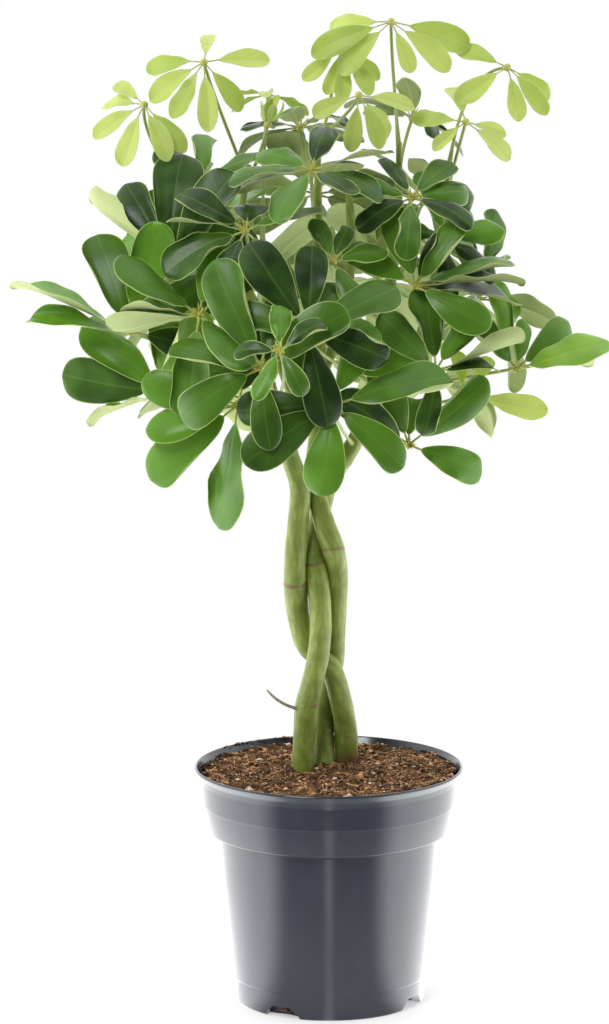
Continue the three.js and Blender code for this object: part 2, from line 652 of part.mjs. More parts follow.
function boxesMeet(first, second) {
  return [0, 1, 2].every(
    (axis) => first.min[axis] <= second.max[axis] && second.min[axis] <= first.max[axis],
  );
}

function isClear(solid, others) {
  const box = solid.boundingBox();
  return others.every(
    (other) => !boxesMeet(box, other.box) || solid.intersect(other.solid).isEmpty(),
  );
}

function boxed(solid, name) {
  return { solid, name, box: solid.boundingBox() };
}

// Every stalk takes the first bow that clears the stems and the stalks before it
function placeStalks(stems) {
  const swollen = Object.values(stems).map((stem) => stem.swollen);
  const placed = [];
  for (const [name, frond] of Object.entries(FRONDS)) {
    const trim = (stalk) => swollen.reduce((rest, stem) => rest.subtract(stem), stalk);
    const carrier = BRANCHES[frond.stem]?.trunk ?? frond.stem;
    const others = Object.entries(stems).filter(([stem]) => stem !== carrier);
    const obstacles = [...others.map(([, stem]) => boxed(stem.solid)), ...placed];
    const bow = STALK_BOWS.find((share) => {
      const ghost = trim(stalkSolid(frond, share, LEAFLET_CLEARANCE));
      return isClear(ghost, obstacles) && ghost.decompose().length === 1;
    });
    placed.push(boxed(trim(stalkSolid(frond, bow ?? 0, 0)), name));
  }
  return placed;
}

// Every leaflet takes the first way that clears all that is placed before it
function placeLeaflets(stems, stalks) {
  const obstacles = Object.values(stems).map((stem) => boxed(stem.solid));
  obstacles.push(...stalks);
  const fronds = {};
  Object.entries(FRONDS).forEach(([name, frond], index) => {
    const random = randomStream(FIRST_SEED + SEED_STEP * index);
    fronds[name] = stalks[index].solid;
    frond.leaflets.forEach((entry) => {
      const leaflet = leafletCharacter(frond, entry, random);
      const way = WAYS_CLEAR.find((option) => {
        const whole = leafletSolid(frond, leaflet, option, LEAFLET_CLEARANCE, 0);
        const blade = leafletSolid(frond, leaflet, option, LEAFLET_CLEARANCE, 1);
        return isClear(whole, obstacles.filter((other) => other.name !== name))
          && isClear(blade, obstacles.filter((other) => other.name === name));
      });
      if (way) {
        const solid = leafletSolid(frond, leaflet, way, 0, 0);
        obstacles.push(boxed(solid, name));
        fronds[name] = fronds[name].add(solid);
      }
    });
  });
  return fronds;
}

function finishedMesh(name, solid, finish) {
  const material = new THREE.MeshStandardMaterial(FINISHES[finish]);
  const mesh = new THREE.Mesh(geometryFromSolid(solid), material);
  mesh.name = name;
  return mesh;
}

function buildPlant() {
  const plant = new THREE.Group();
  const stems = {};
  for (const name of Object.keys(TRUNKS)) {
    stems[name] = { solid: trunkSolid(name, 0), swollen: trunkSolid(name, SEAT_GAP) };
  }
  const routes = Object.values(TRUNKS);
  const holes = routes.map((route) => stemSolid(route, TRUNK_SIDES, SOIL_HOLE_GAP));
  plant.add(finishedMesh('pot', makePot(), 'pot'));
  plant.add(finishedMesh('soil', makeSoil(holes), 'soil'));
  for (const [name, stem] of Object.entries(stems)) {
    plant.add(finishedMesh(name, stem.solid, 'trunk'));
  }
  const fronds = placeLeaflets(stems, placeStalks(stems));
  for (const [name, solid] of Object.entries(fronds)) {
    plant.add(finishedMesh(`frond_${name}`, solid, FRONDS[name].age ?? 'mature'));
  }
  return plant;
}

export default buildPlant();
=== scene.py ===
# A potted umbrella plant: braided trunks in a plastic pot of peat, with palmate
# fronds on long stalks. Blender's metres, +Z up, seen from -Y with +X right.
# Shapes are worked out in millimetres, and a piece turns them into metres.

import math

import bmesh
import bpy
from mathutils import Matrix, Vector, kdtree, noise


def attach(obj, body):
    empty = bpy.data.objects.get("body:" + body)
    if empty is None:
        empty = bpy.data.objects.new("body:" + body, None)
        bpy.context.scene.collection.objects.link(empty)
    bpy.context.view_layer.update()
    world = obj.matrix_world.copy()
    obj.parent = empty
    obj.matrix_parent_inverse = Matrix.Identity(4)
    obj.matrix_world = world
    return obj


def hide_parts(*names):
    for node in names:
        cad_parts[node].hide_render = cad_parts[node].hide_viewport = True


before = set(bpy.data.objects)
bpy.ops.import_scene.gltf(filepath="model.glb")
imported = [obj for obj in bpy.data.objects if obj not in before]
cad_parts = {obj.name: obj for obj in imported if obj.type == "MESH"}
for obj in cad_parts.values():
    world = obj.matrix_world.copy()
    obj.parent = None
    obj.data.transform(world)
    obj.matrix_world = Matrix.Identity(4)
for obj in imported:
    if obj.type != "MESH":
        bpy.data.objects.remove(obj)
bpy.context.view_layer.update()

bl_info = {
    "name": "Potted umbrella plant",
    "version": (1, 0, 0),
    "blender": (4, 5, 0),
    "location": "3D View > Sidebar > Plant",
    "description": "Adds the pot, the peat, the trunks and the fronds of an umbrella plant",
    "category": "Add Mesh",
}

MM = 0.001
SHARP_ANGLE = 60

# Pot, as the solid model has it, apart from the rim, which is as thin as the real one
POT_HEIGHT = 150
POT_WALL = 1.4
RIM_RADIUS = 85
RIM_LIP_HEIGHT = 4
LIP_ROOT_RADIUS = 81.6
CREASE_HEIGHT = 127
CREASE_RADIUS = 79.5
COLLAR_BOTTOM = 109
COLLAR_FOOT_RADIUS = 75.5
BODY_TOP_RADIUS = 69
BASE_RADIUS = 61
RING_LINE_HEIGHT = 16
RAISED_FLOOR = 5
FOOT_WIDTH = 8
CENTRE_DISC_RADIUS = 15
NOTCH_TURNS = (-29, 61, 151, 241)
NOTCH_WIDTH = 26
NOTCH_TOP_WIDTH = 13
NOTCH_HEIGHT = 7
NOTCH_CUT_REACH = 8
POT_SEGMENTS = 144
POT_CORNER_REACH = 0.8
POT_CORNER_STEPS = 5
POT_SHARP_ANGLE = 40

# Peat: its height as the solid has it, then the clods and the loose cover. The
# sizes of the loose pieces are their least and what a random draw adds to it.
SOIL_EDGE_HEIGHT = 145.5
SOIL_DOME = 2.5
SOIL_DOME_SPREAD = (34, 30)
SOIL_DOME_BACK = 16
SOIL_FRONT_RISE = 1.6
SOIL_FRONT_REACH = 110
SOIL_ROUGHNESS = 1.1
SOIL_RADIUS = 79
SOIL_GAP = 0.3
SOIL_SEGMENTS = 160
SOIL_RINGS = 56
SOIL_TONE = 0.12
CLOD_SIZE = 7
CLOD_RISE = 1.8
GRIT_SIZE = 2.4
GRIT_RISE = 0.7
LOOSE_RADIUS = SOIL_RADIUS + 0.9
CRUMB_SIZE = (0.34, 1.15)
LARGE_CRUMB = 1.2
CRUMB_SHARP_ANGLE = 24
CLUMP_SIZE = 6
CRUMBS_ON_RIM = 26
CRUMBS_IN_NOTCH = 14
FIBRE_LENGTH = (3, 9)
FIBRE_STEPS = 5
FIBRE_SIDES = 4
PERLITE_SIZE = (0.45, 1.35)
ROOT_STUB = [(24, 34, 146, 0.7), (25, 33.4, 150, 0.6), (26.6, 33, 154, 0.5),
             (26.2, 33, 157.5, 0.25)]
CRUMB_SEED = 421
FIBRE_SEED = 977
PERLITE_SEED = 5309

# Stems: radius shares, and rises and widths in mm
STEM_SIDES = 24
STEM_RING_STEP = 1.6
STEM_SWELL = 1.11
STEM_TIP_TAPER = 0.28
TWIG_RADIUS = 1.3
SCAR_HALF_WIDTH = 1.05
SCAR_RISE = 0.35
SCAR_DIP = 1.6
WRINKLE_RISE = 0.12
BULGE_RISE = 0.3
NEAR_SAMPLES = 40

# Where the bark is browner: at the forks, and at the foot of the trunks on the right.
# How much, and the heights over which the brown begins and ends.
FORK_BROWN = 0.3
FORKS_START = (345, 380)
FORKS_END = (400, 450)
FOOT_BROWN = 0.6
FOOT_END = (147, 166)

# Leaf stalks: the hub's profile is its height and radius, as shares
STALK_RADIUS = 1.05
STALK_FOOT_RADIUS = 1.8
HUB_RADIUS = 2.6
HUB_HEIGHT = 3.6
STALK_ARCH = 0.42
STALK_BOWS = (0, 0.16, -0.16, 0.32, -0.32)
STALK_SIDES = 10
STALK_RINGS = 24
STALK_TONE = 0.2
HUB_PROFILE = ((-0.55, 0.55), (-0.35, 0.85), (0, 1), (0.35, 0.82), (0.6, 0.5), (0.72, 0.12))
HUB_TONE = 0.6
BRACTS = 9

# Leaflets by age. As shares of the length: where the solid is widest, its width, and
# where the blade starts. In degrees: the lift at the hub and the bend to the tip. In mm:
# the height of the midrib, below 0 where the margins stand higher, and the radius of the
# small stalk. The last is how slender the blade is beside the solid.
AGES = {
    "mature": {"widest": 0.66, "width": 0.41, "start": 14, "bend": 42, "ridge": 1.8,
               "blade": 0.15, "carrier": 0.75, "slender": 1},
    "young": {"widest": 0.58, "width": 0.34, "start": -2, "bend": 40, "ridge": -1.8,
              "blade": 0.22, "carrier": 0.42, "slender": 0.87},
    "unfolding": {"widest": 0.58, "width": 0.3, "start": 50, "bend": -25, "ridge": -1.5,
                  "blade": 0.2, "carrier": 0.42, "slender": 0.9},
}
# How the solid bends a leaflet that would cross another, tried in this order: lift,
# swing and roll in degrees, and a share of its size
WAYS_CLEAR = (
    (0, 0, 0, 1), (12, 0, 0, 1), (-14, 0, 0, 1), (0, 0, 28, 1), (0, 0, -28, 1),
    (24, 6, 0, 1), (-28, -6, 0, 1), (8, 9, 20, 0.9), (8, -9, -20, 0.9),
    (30, 0, 30, 0.85), (30, 0, -30, 0.85), (-36, 0, 0, 0.85), (16, 12, 0, 0.72),
    (-16, -12, 0, 0.72),
)
# How much a leaflet's place varies: shares of its length and degrees
VARIATION = {"swing": 5, "length": 0.09, "start": 8, "roll": 12, "bend": 12}
PLACED_WITHIN = 0.06
LEVEL_ROLL = 62
BLADE_ROWS = 24
BLADE_COLUMNS = (0, 0.04, 0.13, 0.32, 0.5, 0.64, 0.77, 0.89, 0.96, 1)
BLADE_FOOT = 0.22
CURL_START = 0.5
PETIOLULE_SIDES = 6
PETIOLULE_STEPS = 5
# Painted shade on mature leaflets: the heights over which they get darker towards the top of the
# crown, and the distances from the axis over which they get lighter further out
PAINTED_SHADE_HEIGHTS = (360, 540)
PAINTED_LIGHT_OUTSIDE = (30, 120)
YOUNG_TONE = 0.35
LEAFLET_SEED = (1000, 37)
HABIT_SEED = (60000, 911)

# How one leaflet differs from the next: shares of its width, mm and degrees. A pair is
# the least and what a random draw adds to it.
HABIT = {"cup": 0.06, "curly_cup": 0.5, "level_cup": 0.45, "wave": (0.4, 1.7),
         "waves": (1.1, 1.5), "twist": 16, "hook": 5, "young_hook": 1.5, "aside": 1.6,
         "young_curl": 0.3}
ROLLED_ABOVE = 0.55
ROLLED_ANGLE = (65, 110)
FLAT_ANGLE = -38
CURL_PLACE = (0.35, 0.45)
CURL_SPREAD = (0.2, 0.2)
TONE_SPREAD = 0.36

# The blade's section, in mm: depth and width of the groove over the midrib and of the
# keel under it, with the share of the keel that is lost towards the tip, and the half
# width that is left where the outline ends. The margin thins by a share of the
# thickness, and its two sides wave a part of a turn (in radians) apart.
GROOVE = (0.3, 0.9)
KEEL = (0.55, 0.8, 0.8)
END_HALF_WIDTH = 0.55
MARGIN_THINNING = 0.35
OTHER_MARGIN_PHASE = 1.9
LAST_ROW = 0.992  # stops the rows just short of the tip, where the width would be 0

# The small stalk that carries a blade: how far it runs, as a share of where the blade
# starts, how far it lies below the arc in mm, and the radius, as a share of the age's,
# and the tone that it starts with, each with what it loses on the way
CARRIER_OVERLAP = 1.12
CARRIER_DROP = 0.15
CARRIER_TAPER = (1.25, 0.4)
CARRIER_TONE = (0.55, 0.05)

# Camera, from the photograph's perspective
CAMERA_PLACE = (-0.0153, -2.9, 0.841)
CAMERA_PITCH = 0.1802
CAMERA_LENS = 165.5
CAMERA_SENSOR = 36
CAMERA_REACH = 100

# Stage, in metres
FLOOR_HALF = 30
KEY_LIGHT_PLACE = (-0.9, -1.6, 1.9)
KEY_LIGHT_TARGET = (0, 0, 0.35)
KEY_LIGHT_SIZE = 0.8

# Routes of the trunks from root to crown: x, y, z, radius
TRUNKS = {
    "trunk_left": [
        (12, 25, 106, 6.2), (11.5, 24, 140, 6.6), (11.2, 18, 163, 6.8), (9.5, 12, 180, 6.3),
        (7, 7.5, 193, 6.3), (1.8, 5, 210, 6.3), (-6.8, 5, 219, 6.3), (-14.7, 4, 229, 6.3),
        (-19.1, 1, 247, 6.3), (-20.8, -6, 266, 6.8), (-21, -8, 283, 6.2), (-19.5, -8, 306, 6),
        (-18, -9, 328, 5.8), (-23, -10, 346, 5.3), (-30, -10, 366, 4.8), (-38, -12, 396, 4.2),
        (-46, -8, 430, 3.7), (-52, -2, 465, 3.2), (-54, 4, 500, 2.8), (-50, 8, 530, 2.4),
    ],
    "trunk_front": [
        (-17, 5, 106, 6), (-16.4, 4, 140, 6.4), (-15.6, 1.5, 165, 6.3), (-13.9, -3, 187, 6.9),
        (-11, -7, 203, 6.2), (-7.3, -9, 219, 6.2), (-5.1, -9, 240, 6.2), (-5.8, -8.2, 259, 6.2),
        (-8.2, -4, 276, 6.5), (-9.2, 0.5, 287, 6.3), (-6.8, 7.5, 305, 6), (0.2, 12.2, 331, 5.7),
        (10, 13, 345, 5.3), (18, 13, 359, 4.8), (27, 12, 388, 4.3), (34, 8, 421, 3.8),
        (38, 4, 456, 3.4), (42, 0, 491, 3), (43, -3, 520, 2.6), (43, -4, 545, 2.3),
    ],
    "trunk_centre": [
        (-2, 13, 106, 6), (-2.7, 14, 140, 6.3), (-3.4, 18, 168, 6.2), (-2.7, 20, 187, 6.2),
        (0.5, 20, 201, 6.2), (3, 18, 214, 6.2), (3.6, 12, 229, 6.2), (4.4, 5.5, 245, 6.2),
        (4.8, 1.5, 260, 6.2), (5, -1, 276, 6.3), (2.4, -5.6, 291, 6.6), (-2.7, -6.6, 306, 6),
        (-7, -1.5, 321, 5.5), (-9.5, 5, 337, 5.2), (-8, 12, 353, 4.9), (-6, 18, 378, 4.4),
        (-6, 22, 412, 3.9), (-6, 24, 447, 3.4), (-7, 22, 490, 3), (-7, 20, 521, 2.6),
        (-7, 18, 550, 2.3),
    ],
}

# Branches that leave a trunk, and the thin dry twig near the foot of one
BRANCHES = {
    "branch_left": ("trunk_left", [
        (-34, -11, 382, 3.4), (-50, -2, 402, 3.2), (-66, 6, 431, 2.9), (-76, 10, 466, 2.6),
        (-80, 12, 502, 2.2),
    ]),
    "branch_right": ("trunk_front", [
        (22, 13, 370, 3.6), (42, 9, 392, 3.4), (58, 5, 426, 3.1), (66, 2, 461, 2.8),
        (71, 0, 496, 2.5), (74, -2, 532, 2.2),
    ]),
    "branch_back_right": ("trunk_centre", [
        (-6, 20, 393, 3.4), (4, 38, 415, 3.2), (12, 50, 446, 2.9), (14, 56, 481, 2.6),
        (12, 58, 516, 2.2),
    ]),
    "branch_back_left": ("trunk_centre", [
        (-8, 14, 358, 3.6), (-22, 32, 381, 3.3), (-34, 46, 411, 3), (-40, 54, 446, 2.6),
        (-42, 58, 482, 2.2),
    ]),
    "dry_twig": ("trunk_front", [
        (-14, -4, 186, 1.1), (-25, -8, 190, 0.9), (-33, -10, 195, 0.8), (-39, -11, 201, 0.6),
    ]),
}

# Brown ring scars that old leaves left on the trunks: height, and how strong
SCARS = {
    "trunk_left": ((167, 0.5), (191, 0.25), (269, 0.9), (318, 0.3), (352, 0.6), (380, 0.6)),
    "trunk_front": ((189, 1), (242, 0.35), (282, 0.8), (306, 0.35), (340, 0.6), (366, 0.6)),
    "trunk_centre": ((162, 0.6), (213, 0.3), (290, 1), (312, 0.35), (344, 0.6), (372, 0.6)),
}

# Fronds: stem, height on it, hub, the way the whorl faces (turn, tilt), length of
# the leaflets, the leaflets by their angle round the whorl, and their age where it
# isn't mature. A leaflet that differs gives its share of the length too, and its roll.
FRONDS = {
    "low_front": ("trunk_front", 353, (2, -95, 396), (0, 20), 64, (-100, -45, (14, 1.1, -25), 65,
        130, -175, -145)),
    "front_mid": ("trunk_front", 392, (-14, -92, 441), (5, 20), 62, (85, 118, (22, 1, -35),
        (-20, 0.85), -78, (55, 0.8), (168, 0.85))),
    "small_rosette": ("trunk_left", 382, (-30, -124, 433), (-8, 30), 33, (-175, 100, -55, 35,
        -115)),
    "front_left": ("trunk_left", 367, (-42, -98, 419), (-10, 15), 66, ((171, 1, 20), (-78, 0.8),
        (-145, 1, -15), 118, 80, 30)),
    "low_left": ("trunk_left", 353, (-56, -58, 390), (-6, 8), 82, (-134, (-162, 0.8, 40),
        (-98, 0.88, 50), (165, 0.8), (70, 0.8))),
    "left_low": ("trunk_left", 374, (-102, -24, 392), (-10, 10), 76, (168, (142, 0.85),
        (-163, 0.7, 100), 100, 60, 25)),
    "left_mid": ("branch_left", 398, (-122, -32, 431), (-8, 12), 92, ((156, 1, 95), (112, 0.75),
        (178, 0.75, 80), 20, (-14, 0.8), (74, 0.8))),
    "left_front": ("trunk_left", 402, (-79, -70, 447), (-12, 16), 68, ((147, 1, 45),
        (176, 0.8, 70), (-168, 1, 100), (85, 0.75), -95, (40, 0.8), -40)),
    "left_high": ("branch_left", 432, (-98, -36, 474), (-8, 14), 86, ((146, 1, 95),
        (118, 0.66, 25), (84, 0.8), (54, 0.75), (18, 0.7), (-60, 0.8))),
    "right_mid": ("branch_right", 428, (52, -42, 461), (8, 16), 76, ((62, 0.6), (43, 0.65, -20),
        (20, 0.85, -60), (6, 1, -75), (-6, 0.9, -65), (-28, 0.72), (100, 0.7), (150, 0.7))),
    "right_front": ("trunk_front", 376, (65, -52, 410), (8, 14), 68, ((20, 1, -105),
        (6, 0.6, -60), (95, 0.85), (58, 0.8), (165, 0.8), (140, 0.8), (-100, 0.6))),
    "far_right": ("branch_right", 388, (116, -4, 404), (20, 12), 66, ((38, 0.9, -15),
        (16, 1, -45), (2, 0.9, -85), (78, 0.5), (128, 0.6))),
    "low_right": ("trunk_front", 362, (49, -34, 361), (10, 8), 60, (-27, 40, (76, 0.9),
        (110, 0.9), 150)),
    "high_front": ("trunk_centre", 482, (-11, -42, 531), (0, 60), 52, (135, (168, 1, 35), -165,
        (20, 1, -35), -15, -60, -110, 75)),
    "high_right": ("trunk_front", 470, (50, -34, 514), (15, 45), 44, (100, 40, 12, 165, -45, -100,
        -150)),
    "high_left": ("trunk_left", 452, (-51, -60, 497), (-12, 48), 54, ((178, 1, 40), 150,
        (30, 1, -30), 90, -45, -100, -145)),
    "curled_small": ("trunk_front", 432, (2, -62, 478), (10, 40), 34, (110, -70, 20, -150, 60)),
    "right_upper": ("branch_right", 474, (70, -18, 488), (24, 34), 44, (2, 50, 95, 150, -42,
        -85)),
    "left_upper": ("trunk_left", 484, (-78, -12, 522), (-20, 55), 46, (155, 100, -150, 40, -60)),
    "left_side": ("branch_left", 466, (-92, 32, 492), (-56, 40), 50, (150, 110, 80, -140, -96,
        20)),
    "right_side": ("branch_right", 446, (96, 26, 461), (46, 26), 48, ((15, 0.6, -60), (58, 0.9),
        100, -56, -88, 150)),
    "back_low_left": ("branch_back_left", 374, (-74, 62, 384), (-130, 25), 68, (172, 128, 84, 38,
        -6, -152)),
    "back_low_mid": ("branch_back_left", 394, (-6, 98, 394), (178, 25), 68, (168, 124, 78, 32,
        -12, -158)),
    "back_low_right": ("trunk_front", 384, (66, 66, 386), (132, 25), 68, (174, 126, 82, 36, -10,
        -156)),
    "back_left": ("branch_left", 414, (-106, 48, 432), (-112, 35), 70, (178, 128, 76, 26, -30,
        -84, -136)),
    "back_mid_left": ("branch_back_left", 412, (-50, 102, 440), (-152, 35), 70, (168, 118, 66, 14,
        -38, -90, -142)),
    "back_mid_right": ("branch_back_right", 424, (32, 108, 446), (166, 35), 70, (174, 122, 70, 18,
        -34, -86, -140)),
    "back_right": ("branch_right", 410, (94, 52, 440), (118, 35), 68, (166, 114, 62, 12, -40, -92,
        -144)),
    "back_high_left": ("branch_back_left", 446, (-72, 66, 494), (-130, 45), 62, (176, 124, 72, 20,
        -32, -84, -136)),
    "back_high_mid": ("branch_back_right", 466, (-8, 92, 502), (176, 45), 60, (170, 118, 66, 14,
        -38, -90, -142)),
    "back_high_right": ("branch_right", 478, (60, 66, 500), (140, 45), 60, (174, 122, 70, 18, -34,
        -86, -140)),
    "top_back": ("trunk_centre", 506, (-18, 56, 548), (-165, 68), 48, (170, 118, 66, 14, -38, -90,
        -142)),
    "top_right_back": ("trunk_front", 500, (52, 34, 556), (120, 66), 44, (176, 124, 64, 8, -60,
        -120)),
    "young_top_left": ("trunk_left", 522, (-77, -10, 595), (-5, 30), 42, ((90, 0.8), 172, 8, -150,
        -118, -88, -52), "young"),
    "young_left": ("branch_left", 498, (-114, 0, 568), (-12, 30), 40, (174, (138, 0.8), -145,
        -116, -66, -40), "young"),
    "young_top": ("trunk_front", 540, (38, 0, 619), (0, 26), 50, (172, -164, -136, -8, (-34, 0.9),
        (-62, 0.75)), "young"),
    "young_top_mid": ("trunk_centre", 532, (8, 12, 602), (8, 32), 34, (-115, -90, -66, -38,
        -152), "young"),
    "young_pink": ("trunk_centre", 545, (18, -24, 576), (10, 30), 36, (-168, -98, -75, -45,
        -8), "young"),
    "young_right": ("branch_right", 512, (84, -8, 558), (5, 26), 38, (170, 105, (-142, 0.75), -38,
        (-14, 0.7)), "young"),
    "young_far_right": ("branch_right", 528, (110, 10, 590), (14, 30), 38, (152, -150, -80, -52,
        -28), "young"),
    "young_back": ("branch_back_left", 478, (-38, 44, 570), (-150, 60), 30, (-15, 10, 55, -120,
        178), "young"),
    "lime_right": ("trunk_front", 368, (84, -14, 389), (4, 14), 62, ((-5, 1, -30), (50, 0.55),
        (104, 0.5)), "young"),
    "unfolding_tip": ("trunk_left", 514, (-38, -1, 556), (20, 62), 20, (170, 110, 50, -20,
        -100), "unfolding"),
}


def linear(code):
    """Linear red, green and blue of an sRGB hex colour."""
    shares = [int(code[at:at + 2], 16) / 255 for at in (1, 3, 5)]
    return tuple(s / 12.92 if s <= 0.04045 else ((s + 0.055) / 1.055) ** 2.4 for s in shares)


def per_mm(size):
    """Scale of a pattern in object coordinates whose features are that many mm."""
    return 1 / (size * MM)


def smooth(low, high, value):
    """0 below low, 1 above high, and a smooth rise between them."""
    part = min(max((value - low) / (high - low), 0), 1)
    return part * part * (3 - 2 * part)


def polar(radius, turn):
    return radius * math.cos(turn), radius * math.sin(turn)


def circle(radius, count):
    """The x and y of points all round a circle."""
    return [polar(radius, 2 * math.pi * step / count) for step in range(count)]


def random_stream(seed):
    """A repeatable stream of numbers from 0 to 1."""
    state = seed

    def draw():
        nonlocal state
        state = (state * 16807) % 2147483647
        return state / 2147483647

    return draw


# Settings


def colour(name, description, code):
    return bpy.props.FloatVectorProperty(
        name=name, description=description, subtype="COLOR", min=0, max=1, default=linear(code)
    )


def how_many(name, description, default):
    return bpy.props.IntProperty(name=name, description=description, default=default, min=0)


def how_bright(name, description, default):
    return bpy.props.FloatProperty(name=name, description=description, default=default)


class PlantPotSettings(bpy.types.PropertyGroup):
    body: colour("Pot colour", "Colour that the plastic is dyed through", "#2a2e39")
    scuff: colour("Scuff colour", "Colour of faint scuffs and dust", "#444953")


class PlantPeatSettings(bpy.types.PropertyGroup):
    crumbs: how_many("Crumbs", "How many crumbs lie on the peat", 6200)
    fibres: how_many("Fibres", "How many loose fibres lie on the peat", 1300)
    perlite: how_many("Perlite", "How many grains of perlite lie on the peat", 120)
    dark: colour("Wet peat", "Darkest colour of the peat", "#1c0f08")
    light: colour("Dry peat", "Lightest colour of the peat", "#c8986c")


class PlantBarkSettings(bpy.types.PropertyGroup):
    green: colour("Green bark", "Colour of the smooth young bark", "#607328")
    pale: colour("Pale bark", "Colour of the powdery patches on it", "#8c9a45")
    twig: colour("Dead twig", "Colour of the dry twig near the foot", "#8f8671")
    brown: colour("Scar", "Colour of the ring scars and old bark", "#70502f")


class PlantLeafSettings(bpy.types.PropertyGroup):
    thickness: bpy.props.FloatProperty(
        name="Blade thickness", description="Thickness of a leaflet's blade",
        default=0.45 * MM, min=0.1 * MM, unit="LENGTH", precision=5,
    )
    vein_spacing: bpy.props.FloatProperty(
        name="Vein spacing", description="Distance from one side vein to the next",
        default=4.2 * MM, min=MM, unit="LENGTH", precision=4,
    )
    dark: colour("Shaded leaf", "Darkest upper side of a mature leaflet", "#142c0a")
    light: colour("Bright leaf", "Brightest upper side of a mature leaflet", "#5d8f20")
    under: colour("Underside", "Matt underside of a mature leaflet", "#a4b274")
    young: colour("Young leaf", "Upper side of a young leaflet", "#c6d47c")
    stalk: colour("Stalk", "Colour of the leaf stalks", "#8a9850")


class PlantStageSettings(bpy.types.PropertyGroup):
    floor: colour("Floor", "Colour of the floor", "#bcbcbc")
    side_glow: how_bright("Side glow", "How brightly the table glows round the pot", 4.0)
    front_glow: how_bright("Front glow", "How brightly the table glows in front", 0.5)
    plain_glow: how_bright("Plain glow", "How brightly the table itself looks lit", 0.45)
    side_sky: how_bright("Side sky", "How bright the surroundings are", 2.0)
    front_sky: how_bright("Front sky", "How bright they are behind the camera", 0.15)
    key: bpy.props.FloatProperty(
        name="Key light", description="Power of the soft key light", default=34, unit="POWER"
    )


# Materials

SMOOTHSTEP = {"interpolation_type": "SMOOTHSTEP"}
RGBA = {"data_type": "RGBA"}


def add_node(tree, kind, values=None, links=None):
    """A shader node of that kind, with its properties and input values set. Its inputs
    are linked to an output, or to the first output of a node."""
    node = tree.nodes.new("ShaderNode" + kind)
    for name, value in (values or {}).items():
        if name == "stops":
            ramp = node.color_ramp.elements
            ramp[0].position, ramp[0].color = value[0][0], (*value[0][1], 1)
            ramp[1].position, ramp[1].color = value[-1][0], (*value[-1][1], 1)
            for place, shade in value[1:-1]:
                ramp.new(place).color = (*shade, 1)
        elif isinstance(name, int) or name in node.inputs:
            node.inputs[name].default_value = value
        else:
            setattr(node, name, value)
    for name, source in (links or {}).items():
        output = source.outputs[0] if isinstance(source, bpy.types.Node) else source
        tree.links.new(output, node.inputs[name])
    return node


def new_material(name):
    """An empty material and its node tree."""
    material = bpy.data.materials.new(name)
    material.use_nodes = True
    material.node_tree.nodes.clear()
    return material, material.node_tree


def moulded_polypropylene(settings):
    """Injection-moulded polypropylene, dyed through: a smooth dark skin that mirrors
    the lights softly, with faint flow marks down the wall and a little dust. Real flow
    marks are finer than the render can show, so they are drawn 7 mm apart."""
    material, tree = new_material("moulded_polypropylene")
    spots = add_node(tree, "TexCoord").outputs["Object"]
    stretch = add_node(tree, "Mapping", {"Scale": (1, 1, 0.12)}, {"Vector": spots})
    flow = add_node(tree, "TexNoise", {"Scale": per_mm(7), "Detail": 1.0}, {"Vector": stretch})
    dust = add_node(tree, "TexNoise", {"Scale": per_mm(22), "Detail": 2.0}, {"Vector": spots})
    share = add_node(tree, "MapRange", {"From Min": 0.52, "From Max": 0.85, "To Max": 0.22},
                     {"Value": dust})
    shade = add_node(tree, "Mix", {**RGBA, 6: (*settings.body, 1), 7: (*settings.scuff, 1)},
                     {0: share})
    gloss = add_node(tree, "MapRange", {"To Min": 0.13, "To Max": 0.22}, {"Value": flow})
    skin = add_node(tree, "Bump", {"Strength": 0.12, "Distance": 0.1 * MM}, {"Height": flow})
    shader = add_node(tree, "BsdfPrincipled", {"IOR": 1.49},
                      {"Base Color": shade.outputs[2], "Roughness": gloss, "Normal": skin})
    add_node(tree, "OutputMaterial", None, {"Surface": shader})
    return material


def peat_finish(name, settings, grain):
    """Milled sphagnum peat: a matt, crumbly brown that runs from wet to dry. Its grain
    in mm is coarser than real peat dust, so that the flecks show."""
    material, tree = new_material(name)
    spots = add_node(tree, "TexCoord").outputs["Object"]
    tone = add_node(tree, "Attribute", {"attribute_name": "tone"})
    fleck = add_node(tree, "TexNoise", {"Scale": per_mm(grain), "Detail": 2.0},
                     {"Vector": spots})
    mixed = add_node(tree, "Math", {"operation": "MULTIPLY_ADD", 1: 0.55},
                     {0: fleck, 2: tone.outputs["Fac"]})
    middle = [(a * 2 + b) / 3 for a, b in zip(settings.dark, settings.light)]
    shade = add_node(tree, "ValToRGB",
                     {"stops": [(0.27, settings.dark), (0.68, middle), (1.0, settings.light)]},
                     {"Fac": mixed})
    shader = add_node(tree, "BsdfPrincipled",
                      {"Roughness": 0.95, "IOR": 1.4, "Specular IOR Level": 0.25},
                      {"Base Color": shade})
    add_node(tree, "OutputMaterial", None, {"Surface": shader})
    return material


def expanded_perlite():
    """Expanded perlite: volcanic glass blown to a chalky, dusty white grain. Its pores
    are about 0.1 mm wide, and are drawn at 0.7 mm so that they show."""
    material, tree = new_material("expanded_perlite")
    spots = add_node(tree, "TexCoord").outputs["Object"]
    pores = add_node(tree, "TexNoise", {"Scale": per_mm(0.7), "Detail": 4.0}, {"Vector": spots})
    shade = add_node(tree, "ValToRGB",
                     {"stops": [(0.3, linear("#b79a82")), (0.7, linear("#efe3d6"))]},
                     {"Fac": pores})
    shader = add_node(tree, "BsdfPrincipled", {"Roughness": 0.8, "IOR": 1.5},
                      {"Base Color": shade})
    add_node(tree, "OutputMaterial", None, {"Surface": shader})
    return material


